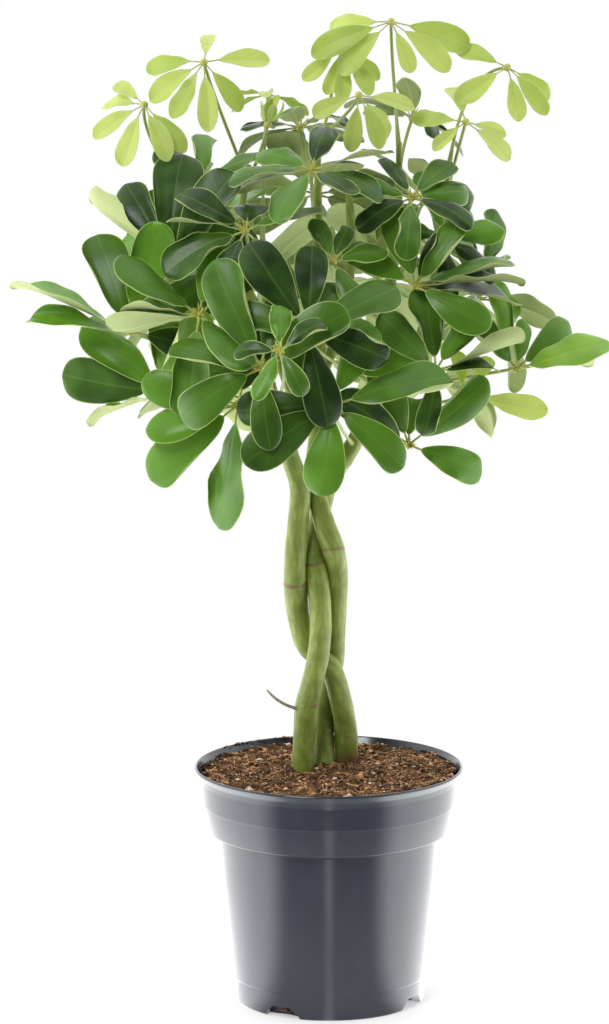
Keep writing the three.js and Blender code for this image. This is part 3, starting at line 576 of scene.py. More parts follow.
def young_bark(settings):
    """Green bark of a young stem: smooth and slightly waxy, with fine streaks along
    the grain, powdery pale patches, tan pores, and brown where a leaf has dropped. Real
    streaks are about half a millimetre wide, and are drawn at 2.4 mm so that they show.
    The place attribute is in mm, and a tone below 0 marks the dead twig."""
    material, tree = new_material("smooth_green_bark")
    place = add_node(tree, "Attribute", {"attribute_name": "place"})
    tone = add_node(tree, "Attribute", {"attribute_name": "tone"})
    grain = add_node(tree, "Mapping", {"Scale": (1, 1, 0.25)},
                     {"Vector": place.outputs["Vector"]})
    streak = add_node(tree, "TexNoise", {"Scale": 1 / 2.4, "Detail": 2.0}, {"Vector": grain})
    cloud = add_node(tree, "TexNoise", {"Scale": 1 / 9, "Detail": 3.0},
                     {"Vector": place.outputs["Vector"]})
    powder = add_node(tree, "Math", {"operation": "MULTIPLY"}, {0: streak, 1: cloud})
    pale = add_node(tree, "MapRange", {"From Min": 0.12, "From Max": 0.44}, {"Value": powder})
    green = add_node(tree, "Mix", {**RGBA, 6: (*settings.green, 1), 7: (*settings.pale, 1)},
                     {0: pale})
    squeeze = add_node(tree, "Mapping", {"Scale": (1, 1, 2.2)},
                       {"Vector": place.outputs["Vector"]})
    pores = add_node(tree, "TexVoronoi", {"Scale": 1 / 3.4, "Randomness": 1.0},
                     {"Vector": squeeze})
    pore = add_node(tree, "MapRange",
                    {"From Min": 0.1, "From Max": 0.17, "To Min": 0.8, "To Max": 0.0},
                    {"Value": pores.outputs["Distance"]})
    dotted = add_node(tree, "Mix", {**RGBA, 7: (*linear("#8a7c4c"), 1)},
                      {0: pore, 6: green.outputs[2]})
    ragged = add_node(tree, "Math", {"operation": "MULTIPLY_ADD", 1: 0.9, 2: -0.45}, {0: cloud})
    worn = add_node(tree, "Math", {"operation": "ADD", "use_clamp": True},
                    {0: tone.outputs["Fac"], 1: ragged})
    old = add_node(tree, "MapRange", {**SMOOTHSTEP, "From Min": 0.2, "From Max": 0.75},
                   {"Value": worn})
    aged = add_node(tree, "Mix", {**RGBA, 7: (*settings.brown, 1)},
                    {0: old, 6: dotted.outputs[2]})
    dead = add_node(tree, "MapRange",
                    {"From Min": -1.0, "From Max": -0.4, "To Min": 1.0, "To Max": 0.0},
                    {"Value": tone.outputs["Fac"]})
    shade = add_node(tree, "Mix", {**RGBA, 7: (*settings.twig, 1)},
                     {0: dead, 6: aged.outputs[2]})
    relief = add_node(tree, "Math", {"operation": "ADD"}, {0: streak, 1: pore})
    skin = add_node(tree, "Bump", {"Strength": 0.4, "Distance": 0.2 * MM}, {"Height": relief})
    shader = add_node(tree, "BsdfPrincipled", {"Roughness": 0.5, "IOR": 1.45},
                      {"Base Color": shade.outputs[2], "Normal": skin})
    add_node(tree, "OutputMaterial", None, {"Surface": shader})
    return material


def leaf_stalk(settings):
    """Fleshy leaf stalk: smooth, faintly streaked, paler than the bark."""
    material, tree = new_material("fleshy_leaf_stalk")
    place = add_node(tree, "Attribute", {"attribute_name": "place"})
    tone = add_node(tree, "Attribute", {"attribute_name": "tone"})
    grain = add_node(tree, "Mapping", {"Scale": (1, 1, 0.15)},
                     {"Vector": place.outputs["Vector"]})
    streak = add_node(tree, "TexNoise", {"Scale": 1 / 0.9, "Detail": 3.0}, {"Vector": grain})
    blotch = add_node(tree, "Math", {"operation": "MULTIPLY_ADD", 1: 0.5},
                      {0: streak, 2: tone.outputs["Fac"]})
    shade = add_node(tree, "ValToRGB",
                     {"stops": [(0.1, linear("#7c8762")), (0.5, settings.stalk),
                                (1.0, linear("#a9a850"))]},
                     {"Fac": blotch})
    shader = add_node(tree, "BsdfPrincipled", {"Roughness": 0.45, "IOR": 1.42},
                      {"Base Color": shade})
    add_node(tree, "OutputMaterial", None, {"Surface": shader})
    return material


def vein_share(tree, place, spacing, wander):
    """How much of a leaflet's point is side vein, midrib and margin, from 0 to 1. The
    side veins leave the midrib at a slant, every spacing mm, and wander by a little."""
    parts = add_node(tree, "SeparateXYZ", None, {0: place})
    aside = add_node(tree, "Math", {"operation": "ABSOLUTE"}, {0: parts.outputs[0]})
    slant = add_node(tree, "Math", {"operation": "MULTIPLY_ADD", 1: -0.8},
                     {0: aside, 2: parts.outputs[1]})
    along = add_node(tree, "Math", {"operation": "MULTIPLY", 1: 0.37}, {0: parts.outputs[1]})
    swerve = add_node(tree, "Math", {"operation": "SINE"}, {0: along})
    line = add_node(tree, "Math", {"operation": "MULTIPLY_ADD", 1: wander},
                    {0: swerve, 2: slant})
    gap = add_node(tree, "Math", {"operation": "PINGPONG", 1: spacing / 2}, {0: line})
    side = add_node(tree, "MapRange",
                    {**SMOOTHSTEP, "From Max": 0.5, "To Min": 1.0, "To Max": 0.0},
                    {"Value": gap})
    rib = add_node(tree, "MapRange",
                   {**SMOOTHSTEP, "From Min": 0.25, "From Max": 0.8, "To Min": 1.0,
                    "To Max": 0.0}, {"Value": aside})
    edge = add_node(tree, "MapRange",
                    {**SMOOTHSTEP, "From Min": 0.3, "From Max": 0.75, "To Min": 1.0,
                     "To Max": 0.0}, {"Value": parts.outputs[2]})
    return side, rib, edge


def leaf_blade(name, settings, look):
    """Living leaf: a waxy skin over soft green tissue, so it mirrors the light softly
    and lets some of it through, with paler veins, midrib and margin."""
    material, tree = new_material(name)
    place = add_node(tree, "Attribute", {"attribute_name": "place"})
    # On mature leaflets the tone holds painted shade from their place in the crown, as well as a
    # random spread
    tone = add_node(tree, "Attribute", {"attribute_name": "tone"})
    spacing = settings.vein_spacing / MM
    side, rib, edge = vein_share(tree, place.outputs["Vector"], spacing, 0.8)
    spots = add_node(tree, "TexCoord").outputs["Object"]
    cloud = add_node(tree, "TexNoise", {"Scale": per_mm(16), "Detail": 1.0}, {"Vector": spots})
    mixed = add_node(tree, "Math", {"operation": "MULTIPLY_ADD", 1: 0.36},
                     {0: cloud, 2: tone.outputs["Fac"]})
    flesh = add_node(tree, "ValToRGB", {"stops": look["tissue"]}, {"Fac": mixed})
    veined = flesh
    for share, strength, shade in ((side, look["side"], look["vein"]),
                                   (rib, look["rib"], look["vein"]),
                                   (edge, look["edge"], look["margin"])):
        part = add_node(tree, "Math", {"operation": "MULTIPLY", 1: strength}, {0: share})
        mix = add_node(tree, "Mix", {**RGBA, 7: (*shade, 1)}, {0: part, 6: veined})
        veined = mix.outputs[2]
    relief = add_node(tree, "Math", {"operation": "MULTIPLY", 1: look["sunk"]}, {0: side})
    skin = add_node(tree, "Bump", {"Strength": 0.2, "Distance": 0.25 * MM}, {"Height": relief})
    gloss = add_node(tree, "MapRange",
                     {"To Min": look["roughness"] - 0.05, "To Max": look["roughness"] + 0.08},
                     {"Value": cloud})
    front = add_node(tree, "BsdfPrincipled",
                     {"IOR": 1.45, "Specular IOR Level": look["specular"]},
                     {"Base Color": veined, "Roughness": gloss, "Normal": skin})
    glow = add_node(tree, "Mix", {**RGBA, 0: 0.6, 7: (*look["glow"], 1)}, {6: veined})
    through = add_node(tree, "BsdfTranslucent", None,
                       {"Color": glow.outputs[2], "Normal": skin})
    both = add_node(tree, "MixShader", {"Fac": look["through"]}, {1: front, 2: through})
    add_node(tree, "OutputMaterial", None, {"Surface": both})
    return material


def leaf_finishes(settings):
    """The finishes of a frond by age: upper side, underside and stalk."""
    middle = [(a + b) / 2 for a, b in zip(settings.dark, settings.light)]
    lime = linear("#7fa82c")
    stalk = leaf_stalk(settings)
    mature = leaf_blade("waxy_mature_leaf", settings, {
        "tissue": [(0.12, settings.dark), (0.45, middle), (0.8, settings.light), (1.0, lime)],
        "vein": linear("#6d9440"), "margin": linear("#a9bf6e"),
        "side": 0.05, "rib": 0.2, "edge": 0.75, "sunk": -0.5,
        "roughness": 0.34, "specular": 0.36, "through": 0.16, "glow": linear("#86ad24"),
    })
    under = leaf_blade("matt_leaf_underside", settings, {
        "tissue": [(0.1, linear("#86955a")), (0.6, settings.under), (1.0, linear("#b4c184"))],
        "vein": linear("#b4c08c"), "margin": linear("#aabb78"),
        "side": 0.18, "rib": 0.6, "edge": 0.4, "sunk": 0.8,
        "roughness": 0.62, "specular": 0.3, "through": 0.1, "glow": linear("#93ad48"),
    })
    young = leaf_blade("soft_young_leaf", settings, {
        "tissue": [(0.1, linear("#a3b957")), (0.5, settings.young), (1.0, linear("#d2dc8c"))],
        "vein": linear("#bcca7c"), "margin": linear("#ccd6a0"),
        "side": 0.25, "rib": 0.5, "edge": 0.5, "sunk": -0.7,
        "roughness": 0.42, "specular": 0.4, "through": 0.45, "glow": linear("#bfd345"),
    })
    young_under = leaf_blade("soft_young_underside", settings, {
        "tissue": [(0.1, linear("#a6b76a")), (0.6, linear("#bcc980")), (1.0, linear("#ced79c"))],
        "vein": linear("#c2cc92"), "margin": linear("#ccd6a0"),
        "side": 0.3, "rib": 0.6, "edge": 0.5, "sunk": 1.0,
        "roughness": 0.55, "specular": 0.3, "through": 0.45, "glow": linear("#bfd34c"),
    })
    return {"mature": (mature, under, stalk), "young": (young, young_under, stalk),
            "unfolding": (young, young_under, stalk)}


# Shapes


class Shape:
    """Points, faces and finishes of a piece, in millimetres, before it is a mesh.
    Each point has a place in its part's own frame and a tone from 0 to 1."""

    def __init__(self):
        self.points = []
        self.places = []
        self.tones = []
        self.faces = []
        self.finishes = []

    def add_point(self, point, place=(0, 0, 0), tone=0.0):
        self.points.append(point)
        self.places.append(place)
        self.tones.append(tone)
        return len(self.points) - 1

    def add_face(self, corners, finish=0):
        self.faces.append(corners)
        self.finishes.append(finish)

    def add_tube_faces(self, rings, finish=0):
        """Faces between rows of points that go round, closed by a face at each end."""
        for near, far in zip(rings, rings[1:]):
            for side in range(len(near)):
                after = (side + 1) % len(near)
                self.add_face((near[side], near[after], far[after], far[side]), finish)
        self.add_face(tuple(reversed(rings[0])), finish)
        self.add_face(tuple(rings[-1]), finish)


def link_object(name, data):
    """A new object for the data, in the scene."""
    holder = bpy.data.objects.new(name, data)
    bpy.context.scene.collection.objects.link(holder)
    return holder


def plain_mesh(name, shape, finishes=()):
    """The shape's points, in metres, and faces as a mesh."""
    mesh = bpy.data.meshes.new(name)
    mesh.from_pydata([point * MM for point in shape.points], [], shape.faces)
    for finish in finishes:
        mesh.materials.append(finish)
    return mesh


def make_piece(name, shape, finishes, replaced=(), sharp=SHARP_ANGLE):
    """Turns a shape into an object that rides with the plant."""
    mesh = plain_mesh(name, shape, finishes)
    mesh.polygons.foreach_set("material_index", shape.finishes)
    mesh.polygons.foreach_set("use_smooth", [True] * len(shape.faces))
    place = mesh.attributes.new("place", "FLOAT_VECTOR", "POINT")
    place.data.foreach_set("vector", [value for spot in shape.places for value in spot])
    tone = mesh.attributes.new("tone", "FLOAT", "POINT")
    tone.data.foreach_set("value", shape.tones)
    mesh.update()
    mesh.set_sharp_from_angle(angle=math.radians(sharp))
    return settle(link_object(name, mesh), replaced)


def settle(piece, replaced):
    """Puts a piece on the plant's one body and in place of its solids."""
    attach(piece, "root")
    if replaced:
        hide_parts(*replaced)
    return piece


def apply_boolean(piece, other, operation):
    """Cuts the other object away or joins it, and removes it."""
    modifier = piece.modifiers.new(operation.lower(), "BOOLEAN")
    modifier.object = other
    modifier.operation = operation
    modifier.solver = "EXACT"
    bpy.context.view_layer.objects.active = piece
    with bpy.context.temp_override(object=piece, active_object=piece):
        bpy.ops.object.modifier_apply(modifier=modifier.name)
    bpy.data.objects.remove(other)


def frames_along(centres, across=None):
    """For each centre: across, over and along, which don't twist, and how far it is."""
    distance = 0
    for index, centre in enumerate(centres):
        before = centres[max(index - 1, 0)]
        after = centres[min(index + 1, len(centres) - 1)]
        along = (after - before).normalized()
        if across is None:
            across = along.orthogonal().normalized()
        across = (across - along * across.dot(along)).normalized()
        distance += (centre - before).length
        yield across, along.cross(across), along, distance


def add_sweep(shape, centres, radii, sides, finish=0, tones=None):
    """A closed round stem along a row of centres."""
    rings = []
    for index, (across, over, _, distance) in enumerate(frames_along(centres)):
        tone = tones[index] if tones else 0.0
        rings.append([
            shape.add_point(centres[index] + across * x + over * y, (x, y, distance), tone)
            for x, y in circle(radii[index], sides)
        ])
    shape.add_tube_faces(rings, finish)


class Course:
    """A smooth line through a route's points, each passed along its neighbours' chord."""

    def __init__(self, route):
        self.points = [Vector(stop[:3]) for stop in route]
        self.radii = [stop[3] for stop in route]

    def locate(self, share):
        """The span that a share of the course falls in, and how far along it."""
        place = share * (len(self.points) - 1)
        span = min(int(place), len(self.points) - 2)
        return span, place - span

    def at(self, share):
        span, part = self.locate(share)
        start, end = self.points[span], self.points[span + 1]
        before = self.points[span - 1] if span > 0 else start * 2 - end
        after = self.points[span + 2] if span + 2 < len(self.points) else end * 2 - start
        leave, arrive = (end - before) / 2, (after - start) / 2
        return (start + leave * part
                + ((end - start) * 3 - leave * 2 - arrive) * part ** 2
                + ((start - end) * 2 + leave + arrive) * part ** 3)

    def radius(self, share):
        span, part = self.locate(share)
        return self.radii[span] + (self.radii[span + 1] - self.radii[span]) * part

    def at_height(self, height):
        """Where the course first reaches a height, found by halving."""
        low, high = 0.0, 1.0
        for _ in range(30):
            middle = (low + high) / 2
            if self.at(middle).z < height:
                low = middle
            else:
                high = middle
        return self.at(low)

    def samples(self, step):
        """Centres about step mm apart, with the radius at each."""
        rough = sum((b - a).length for a, b in zip(self.points, self.points[1:]))
        count = max(int(rough / step), 2)
        shares = [index / count for index in range(count + 1)]
        radii = [self.radius(share) * STEM_SWELL
                 * (1 - STEM_TIP_TAPER * smooth(0.84, 1, share)) for share in shares]
        return [self.at(share) for share in shares], radii


COURSES = {name: Course(route) for name, route in TRUNKS.items()}
COURSES.update({name: Course(route) for name, (_, route) in BRANCHES.items()})


# Pot


def rounded(outline, reach, steps):
    """The closed outline with each corner turned into a short curve."""
    smoothed = []
    for index, corner in enumerate(outline):
        before, after = outline[index - 1], outline[(index + 1) % len(outline)]
        if corner[0] == 0:
            smoothed.append(corner)
            continue
        ends = []
        for other in (before, after):
            away = Vector(other) - Vector(corner)
            ends.append(Vector(corner) + away.normalized() * min(reach, away.length * 0.4))
        for step in range(steps + 1):
            part = step / steps
            near = ends[0].lerp(Vector(corner), part)
            far = Vector(corner).lerp(ends[1], part)
            smoothed.append(tuple(near.lerp(far, part)))
    return smoothed


def pot_outline():
    """Radius and height from the axis below, up the outside, over the rim and back
    inside. The collar has a faint crease, and the body a ring line near its foot."""
    wall = POT_WALL
    lip_bottom = POT_HEIGHT - RIM_LIP_HEIGHT
    floor_top = RAISED_FLOOR + wall
    inner_foot = BASE_RADIUS - FOOT_WIDTH
    return [
        (0, 0),
        (CENTRE_DISC_RADIUS, 0),
        (CENTRE_DISC_RADIUS + 2, RAISED_FLOOR),
        (inner_foot - 1, RAISED_FLOOR),
        (inner_foot, 0),
        (BASE_RADIUS - 1, 0),
        (BASE_RADIUS, 1),
        (BASE_RADIUS + 0.5, 8),
        (BASE_RADIUS + 0.95, RING_LINE_HEIGHT - 0.3),
        (BASE_RADIUS + 1.25, RING_LINE_HEIGHT + 0.3),
        (BASE_RADIUS + 2.3, RING_LINE_HEIGHT + 14),
        (BODY_TOP_RADIUS, COLLAR_BOTTOM - 1.4),
        (COLLAR_FOOT_RADIUS, COLLAR_BOTTOM),
        (CREASE_RADIUS - 0.16, CREASE_HEIGHT - 0.9),
        (CREASE_RADIUS + 0.16, CREASE_HEIGHT),
        (LIP_ROOT_RADIUS - 0.6, CREASE_HEIGHT + 14),
        (LIP_ROOT_RADIUS + 0.6, lip_bottom - 1.2),
        (RIM_RADIUS - 0.9, lip_bottom + 1.6),
        (RIM_RADIUS, POT_HEIGHT - 1),
        (RIM_RADIUS - 0.7, POT_HEIGHT),
        (RIM_RADIUS - 1.5, POT_HEIGHT),
        (LIP_ROOT_RADIUS - wall + 0.3, lip_bottom - 2),
        (CREASE_RADIUS - wall, CREASE_HEIGHT),
        (COLLAR_FOOT_RADIUS - wall, COLLAR_BOTTOM + 0.5),
        (BODY_TOP_RADIUS - wall, COLLAR_BOTTOM - 3.5),
        (BASE_RADIUS - wall, floor_top),
        (0, floor_top),
    ]


def turned_shape(outline, segments):
    """The outline turned round the Z axis. Its first and last points are on the axis."""
    shape = Shape()
    rows = []
    for radius, height in outline:
        if radius == 0:
            rows.append([shape.add_point(Vector((0, 0, height)))])
            continue
        rows.append([shape.add_point(Vector((x, y, height)))
                     for x, y in circle(radius, segments)])
    for near, far in zip(rows, rows[1:]):
        for segment in range(segments):
            after = (segment + 1) % segments
            corners = [near[segment % len(near)], near[after % len(near)],
                       far[after % len(far)], far[segment % len(far)]]
            shape.add_face(tuple(dict.fromkeys(corners)))
    return shape


def notch_cutters():
    """Four wedges that cut the drain notches into the foot of the pot."""
    shape = Shape()
    half, top = NOTCH_WIDTH / 2, NOTCH_TOP_WIDTH / 2
    profile = [(-half, -1), (half, -1), (half - 1.2, 1.5), (top + 1.6, NOTCH_HEIGHT - 1.2),
               (top, NOTCH_HEIGHT), (-top, NOTCH_HEIGHT), (-top - 1.6, NOTCH_HEIGHT - 1.2),
               (-half + 1.2, 1.5)]
    for turn in NOTCH_TURNS:
        angle = math.radians(turn)
        outward = Vector((math.sin(angle), -math.cos(angle), 0))
        sideways = Vector((math.cos(angle), math.sin(angle), 0))
        rings = []
        for depth in (BASE_RADIUS - NOTCH_CUT_REACH, BASE_RADIUS + NOTCH_CUT_REACH):
            rings.append([shape.add_point(outward * depth + sideways * x + Vector((0, 0, z)))
                          for x, z in profile])
        shape.add_tube_faces(rings)
    return shape


def build_pot(settings):
    """Turns the pot and cuts its notches."""
    finish = moulded_polypropylene(settings)
    outline = rounded(pot_outline(), POT_CORNER_REACH, POT_CORNER_STEPS)
    pot = make_piece("pot_shell", turned_shape(outline, POT_SEGMENTS), [finish],
                     ["pot"], sharp=POT_SHARP_ANGLE)
    cutters = link_object("notch_cutters", plain_mesh("notch_cutters", notch_cutters()))
    flip_outward(pot.data)
    flip_outward(cutters.data)
    apply_boolean(pot, cutters, "DIFFERENCE")
    pot.data.set_sharp_from_angle(angle=math.radians(POT_SHARP_ANGLE))


def flip_outward(mesh):
    """Turns all faces of a closed mesh so that they point out."""
    work = bmesh.new()
    work.from_mesh(mesh)
    bmesh.ops.recalc_face_normals(work, faces=work.faces)
    work.to_mesh(mesh)
    work.free()


# Peat


def soil_height(x, y):
    """Height of the peat as the solid has it: domed round the trunks and lumpy."""
    wide, deep = SOIL_DOME_SPREAD
    dome = SOIL_DOME * math.exp(-((x / wide) ** 2) - ((y - SOIL_DOME_BACK) / deep) ** 2)
    front = SOIL_FRONT_RISE * max(0, (x - y) / SOIL_FRONT_REACH)
    lumps = math.sin(x * 0.19 + 1.3) * math.cos(y * 0.17 - 0.4)
    lumps += 0.5 * math.sin(math.hypot(x, y) * 0.4 + x * 0.1)
    return SOIL_EDGE_HEIGHT + dome + front + SOIL_ROUGHNESS * lumps


def peat_height(x, y):
    """The same with clods and grit."""
    clods = noise.noise(Vector((x / CLOD_SIZE, y / CLOD_SIZE, 0.5)))
    grit = noise.noise(Vector((x / GRIT_SIZE, y / GRIT_SIZE, 7.5)))
    return soil_height(x, y) + CLOD_RISE * clods + GRIT_RISE * grit


def soil_shape():
    """The bed of peat, from its lumpy top down inside the pot's wall to its floor."""
    shape = Shape()
    rows = []
    for ring in range(SOIL_RINGS):
        radius = SOIL_RADIUS * (ring + 1) / SOIL_RINGS
        rows.append([shape.add_point(Vector((x, y, peat_height(x, y))), tone=SOIL_TONE)
                     for x, y in circle(radius, SOIL_SEGMENTS)])
    gap = POT_WALL + SOIL_GAP
    wall = [(CREASE_RADIUS - gap, CREASE_HEIGHT),
            (COLLAR_FOOT_RADIUS - gap, COLLAR_BOTTOM + 0.8),
            (BODY_TOP_RADIUS - gap, COLLAR_BOTTOM - 3.5),
            (BASE_RADIUS - gap - 0.4, RAISED_FLOOR + gap)]
    for radius, height in wall:
        rows.append([shape.add_point(Vector((x, y, height)), tone=SOIL_TONE)
                     for x, y in circle(radius, SOIL_SEGMENTS)])
    centre = shape.add_point(Vector((0, 0, peat_height(0, 0))), tone=SOIL_TONE)
    for segment in range(SOIL_SEGMENTS):
        after = (segment + 1) % SOIL_SEGMENTS
        shape.add_face((centre, rows[0][segment], rows[0][after]))
        for near, far in zip(rows, rows[1:]):
            shape.add_face((near[segment], far[segment], far[after], near[after]))
    shape.add_face(tuple(reversed(rows[-1])))
    return shape


def ball_template(subdivisions):
    """Points and faces of a ball of radius 1, to be copied for each grain."""
    work = bmesh.new()
    bmesh.ops.create_icosphere(work, subdivisions=subdivisions, radius=1)
    points = [vertex.co.copy() for vertex in work.verts]
    faces = [tuple(vertex.index for vertex in face.verts) for face in work.faces]
    work.free()
    return points, faces


def add_lump(shape, template, centre, size, random, tone):
    """An uneven grain, longer one way and dented by noise."""
    points, faces = template
    turn = 2 * math.pi * random()
    stretch = (0.7 + random(), 0.5 + 0.5 * random(), 0.4 + 0.4 * random())
    salt = 50 * random()
    first = len(shape.points)
    for point in points:
        dent = 1 + 0.7 * noise.noise(point * 1.9 + Vector((salt, 0, 0)))
        x, y, z = (point[axis] * stretch[axis] * size * dent for axis in range(3))
        spot = Vector((x * math.cos(turn) - y * math.sin(turn),
                       x * math.sin(turn) + y * math.cos(turn), z))
        shape.add_point(centre + spot, tone=tone)
    for face in faces:
        shape.add_face(tuple(first + corner for corner in face))


def clear_of_trunks(x, y, room):
    """Whether a place on the peat keeps room mm from the trunks."""
    for name in TRUNKS:
        foot = COURSES[name].at_height(SOIL_EDGE_HEIGHT + 2)
        if math.hypot(x - foot.x, y - foot.y) < COURSES[name].radii[1] + room:
            return False
    return True


def open_spot(random, room):
    """A random place on the peat that is clear of the trunks."""
    while True:
        radius = LOOSE_RADIUS * math.sqrt(random())
        x, y = polar(radius, 2 * math.pi * random())
        if clear_of_trunks(x, y, room):
            return x, y


def crumb_shape(settings):
    """The loose crumbs of peat: dark ones in clumps, some on the rim at the back left
    and some that have come out of the front notch."""
    shape = Shape()
    random = random_stream(CRUMB_SEED)
    small, large = ball_template(1), ball_template(2)
    for _ in range(settings.crumbs):
        x, y = open_spot(random, 0.2)
        size = CRUMB_SIZE[0] + CRUMB_SIZE[1] * random() ** 3
        template = large if size > LARGE_CRUMB else small
        centre = Vector((x, y, peat_height(x, y) + 0.25 * size))
        clump = 0.5 + 0.9 * noise.noise(Vector((x / CLUMP_SIZE, y / CLUMP_SIZE, 3.5)))
        tone = min(max((0.2 + clump) * random() ** 1.4, 0), 1)
        add_lump(shape, template, centre, size, random, tone)
    for _ in range(CRUMBS_ON_RIM):
        turn = math.radians(100 + 45 * random())
        radius = 79.8 + 3.6 * random()
        spot = Vector((*polar(radius, turn), POT_HEIGHT + 0.3))
        add_lump(shape, small, spot, 0.5 + 0.9 * random(), random, 0.5 * random())
    for _ in range(CRUMBS_IN_NOTCH):
        turn = math.radians(NOTCH_TURNS[0] - 90 + 10 * (random() - 0.2))
        radius = BASE_RADIUS - 4 + 3.5 * random()
        spot = Vector((*polar(radius, turn), 3.2 + 3.4 * random()))
        add_lump(shape, small, spot, 0.6 + 0.7 * random(), random, 0.4 * random())
    return shape


def fibre_shape(settings):
    """Loose strands that lie on the peat, and the pale stub of a root."""
    shape = Shape()
    random = random_stream(FIBRE_SEED)
    for _ in range(settings.fibres):
        x, y = open_spot(random, 1.5)
        length = FIBRE_LENGTH[0] + FIBRE_LENGTH[1] * random() ** 2
        turn = 2 * math.pi * random()
        curl = 1.6 * (random() - 0.5)
        lift = 0.3 + 1.5 * random() ** 3
        centres = []
        for step in range(FIBRE_STEPS + 1):
            arch = lift * math.sin(math.pi * (step / FIBRE_STEPS))
            centres.append(Vector((x, y, peat_height(x, y) + 0.25 + arch)))
            x = x + length / FIBRE_STEPS * math.cos(turn)
            y = y + length / FIBRE_STEPS * math.sin(turn)
            turn += curl / FIBRE_STEPS
        if math.hypot(x, y) > SOIL_RADIUS - 0.8 or not clear_of_trunks(x, y, 0.8):
            continue
        radius = 0.1 + 0.16 * random()
        tone = 0.3 + 0.6 * random()
        radii = [radius * 0.6, *[radius] * (FIBRE_STEPS - 1), radius * 0.4]
        add_sweep(shape, centres, radii, FIBRE_SIDES, tones=[tone] * len(centres))
    centres = [Vector(stop[:3]) for stop in ROOT_STUB]
    add_sweep(shape, centres, [stop[3] for stop in ROOT_STUB], 8, tones=[1.0] * len(centres))
    return shape


def perlite_shape(settings):
    """The white grains that lie on the peat."""
    shape = Shape()
    random = random_stream(PERLITE_SEED)
    template = ball_template(2)
    for _ in range(settings.perlite):
        x, y = open_spot(random, 1)
        size = PERLITE_SIZE[0] + PERLITE_SIZE[1] * random() ** 2.5
        add_lump(shape, template, Vector((x, y, peat_height(x, y) + 0.5)), size, random, 0)
    return shape


def build_peat(settings):
    """Adds the bed of peat and what lies loose on it."""
    bed = peat_finish("milled_peat", settings, 2.2)
    crumb = peat_finish("peat_crumb", settings, 1.1)
    fibre = peat_finish("peat_fibre", settings, 3.0)
    make_piece("peat_bed", soil_shape(), [bed], ["soil"])
    make_piece("peat_crumbs", crumb_shape(settings), [crumb], sharp=CRUMB_SHARP_ANGLE)
    make_piece("peat_fibres", fibre_shape(settings), [fibre])
    make_piece("perlite_grains", perlite_shape(settings), [expanded_perlite()])


# Trunks


def stem_piece(name, course, finish):
    """One smooth stem, before it is joined to the others."""
    shape = Shape()
    centres, radii = course.samples(STEM_RING_STEP)
    add_sweep(shape, centres, radii, STEM_SIDES)
    piece = link_object(name, plain_mesh(name, shape, [finish]))
    flip_outward(piece.data)
    return piece


def stem_frames(courses):
    """Samples of the stems: centre, across, over, along, distance and radius."""
    samples = []
    for course in courses:
        centres, radii = course.samples(STEM_RING_STEP)
        frames = frames_along(centres, Vector((1, 0, 0)))
        for centre, radius, directions in zip(centres, radii, frames):
            samples.append((centre, *directions, radius))
    return samples


def scar_share(height, scar, turn):
    """How much of a point is ring scar: a narrow broken ring that dips on one side."""
    place, strength = scar
    off = height - place - SCAR_DIP * math.cos(turn + place)
    broken = 0.65 + 0.6 * noise.noise(Vector((math.cos(turn), math.sin(turn), place)) * 1.3)
    wide = SCAR_HALF_WIDTH * (0.6 + 0.8 * broken)
    return strength * min(broken, 1) * math.exp(-((off / wide) ** 2))


def finish_stem(mesh, courses, scars):
    """Gives a stem's points their place and tone, and raises its scars and wrinkles."""
    samples = stem_frames(courses)
    tree = kdtree.KDTree(len(samples))
    for index, sample in enumerate(samples):
        tree.insert(sample[0], index)
    tree.balance()
    places, tones, moved = [], [], []
    for vertex in mesh.vertices:
        point = vertex.co / MM
        found = min(tree.find_n(point, NEAR_SAMPLES),
                    key=lambda hit: hit[2] - samples[hit[1]][-1])
        centre, across, over, along, distance, radius = samples[found[1]]
        away = point - centre
        x, y, step = away.dot(across), away.dot(over), away.dot(along)
        turn = math.atan2(y, x)
        scar = max(scar_share(point.z, ring, turn) for ring in scars)
        thick = smooth(2.0, 3.0, radius)
        wrinkle = noise.noise(Vector((x / 2.5, y / 2.5, (distance + step) / 14)))
        bulge = noise.noise(Vector((x / 9, y / 9, (distance + step) / 16)))
        rise = thick * (SCAR_RISE * scar + WRINKLE_RISE * wrinkle + BULGE_RISE * bulge)
        moved.append((point + vertex.normal * rise) * MM)
        age = FORK_BROWN * (smooth(*FORKS_START, point.z) - smooth(*FORKS_END, point.z))
        age += FOOT_BROWN * (1 - smooth(*FOOT_END, point.z)) * smooth(2, 9, point.x)
        places.extend((x, y, distance + step))
        tones.append(-1 if radius <= TWIG_RADIUS else min(max(1.1 * scar, age), 1))
    for vertex, spot in zip(mesh.vertices, moved):
        vertex.co = spot
    mesh.attributes.new("place", "FLOAT_VECTOR", "POINT").data.foreach_set("vector", places)
    mesh.attributes.new("tone", "FLOAT", "POINT").data.foreach_set("value", tones)
    mesh.polygons.foreach_set("use_smooth", [True] * len(mesh.polygons))
    mesh.update()


def build_trunks(settings):
    """Joins each trunk with its branches into one piece."""
    finish = young_bark(settings)
    for name in TRUNKS:
        courses = [COURSES[name]]
        trunk = stem_piece(f"{name}_bark", COURSES[name], finish)
        for branch, (carrier, _) in BRANCHES.items():
            if carrier == name:
                courses.append(COURSES[branch])
                apply_boolean(trunk, stem_piece(branch, COURSES[branch], finish), "UNION")
        finish_stem(trunk.data, courses, SCARS[name])
        settle(trunk, [name])


# Fronds


def frond_age(name):
    """The age that the table gives a frond, or mature where it gives none."""
    return (*FRONDS[name], "mature")[6]


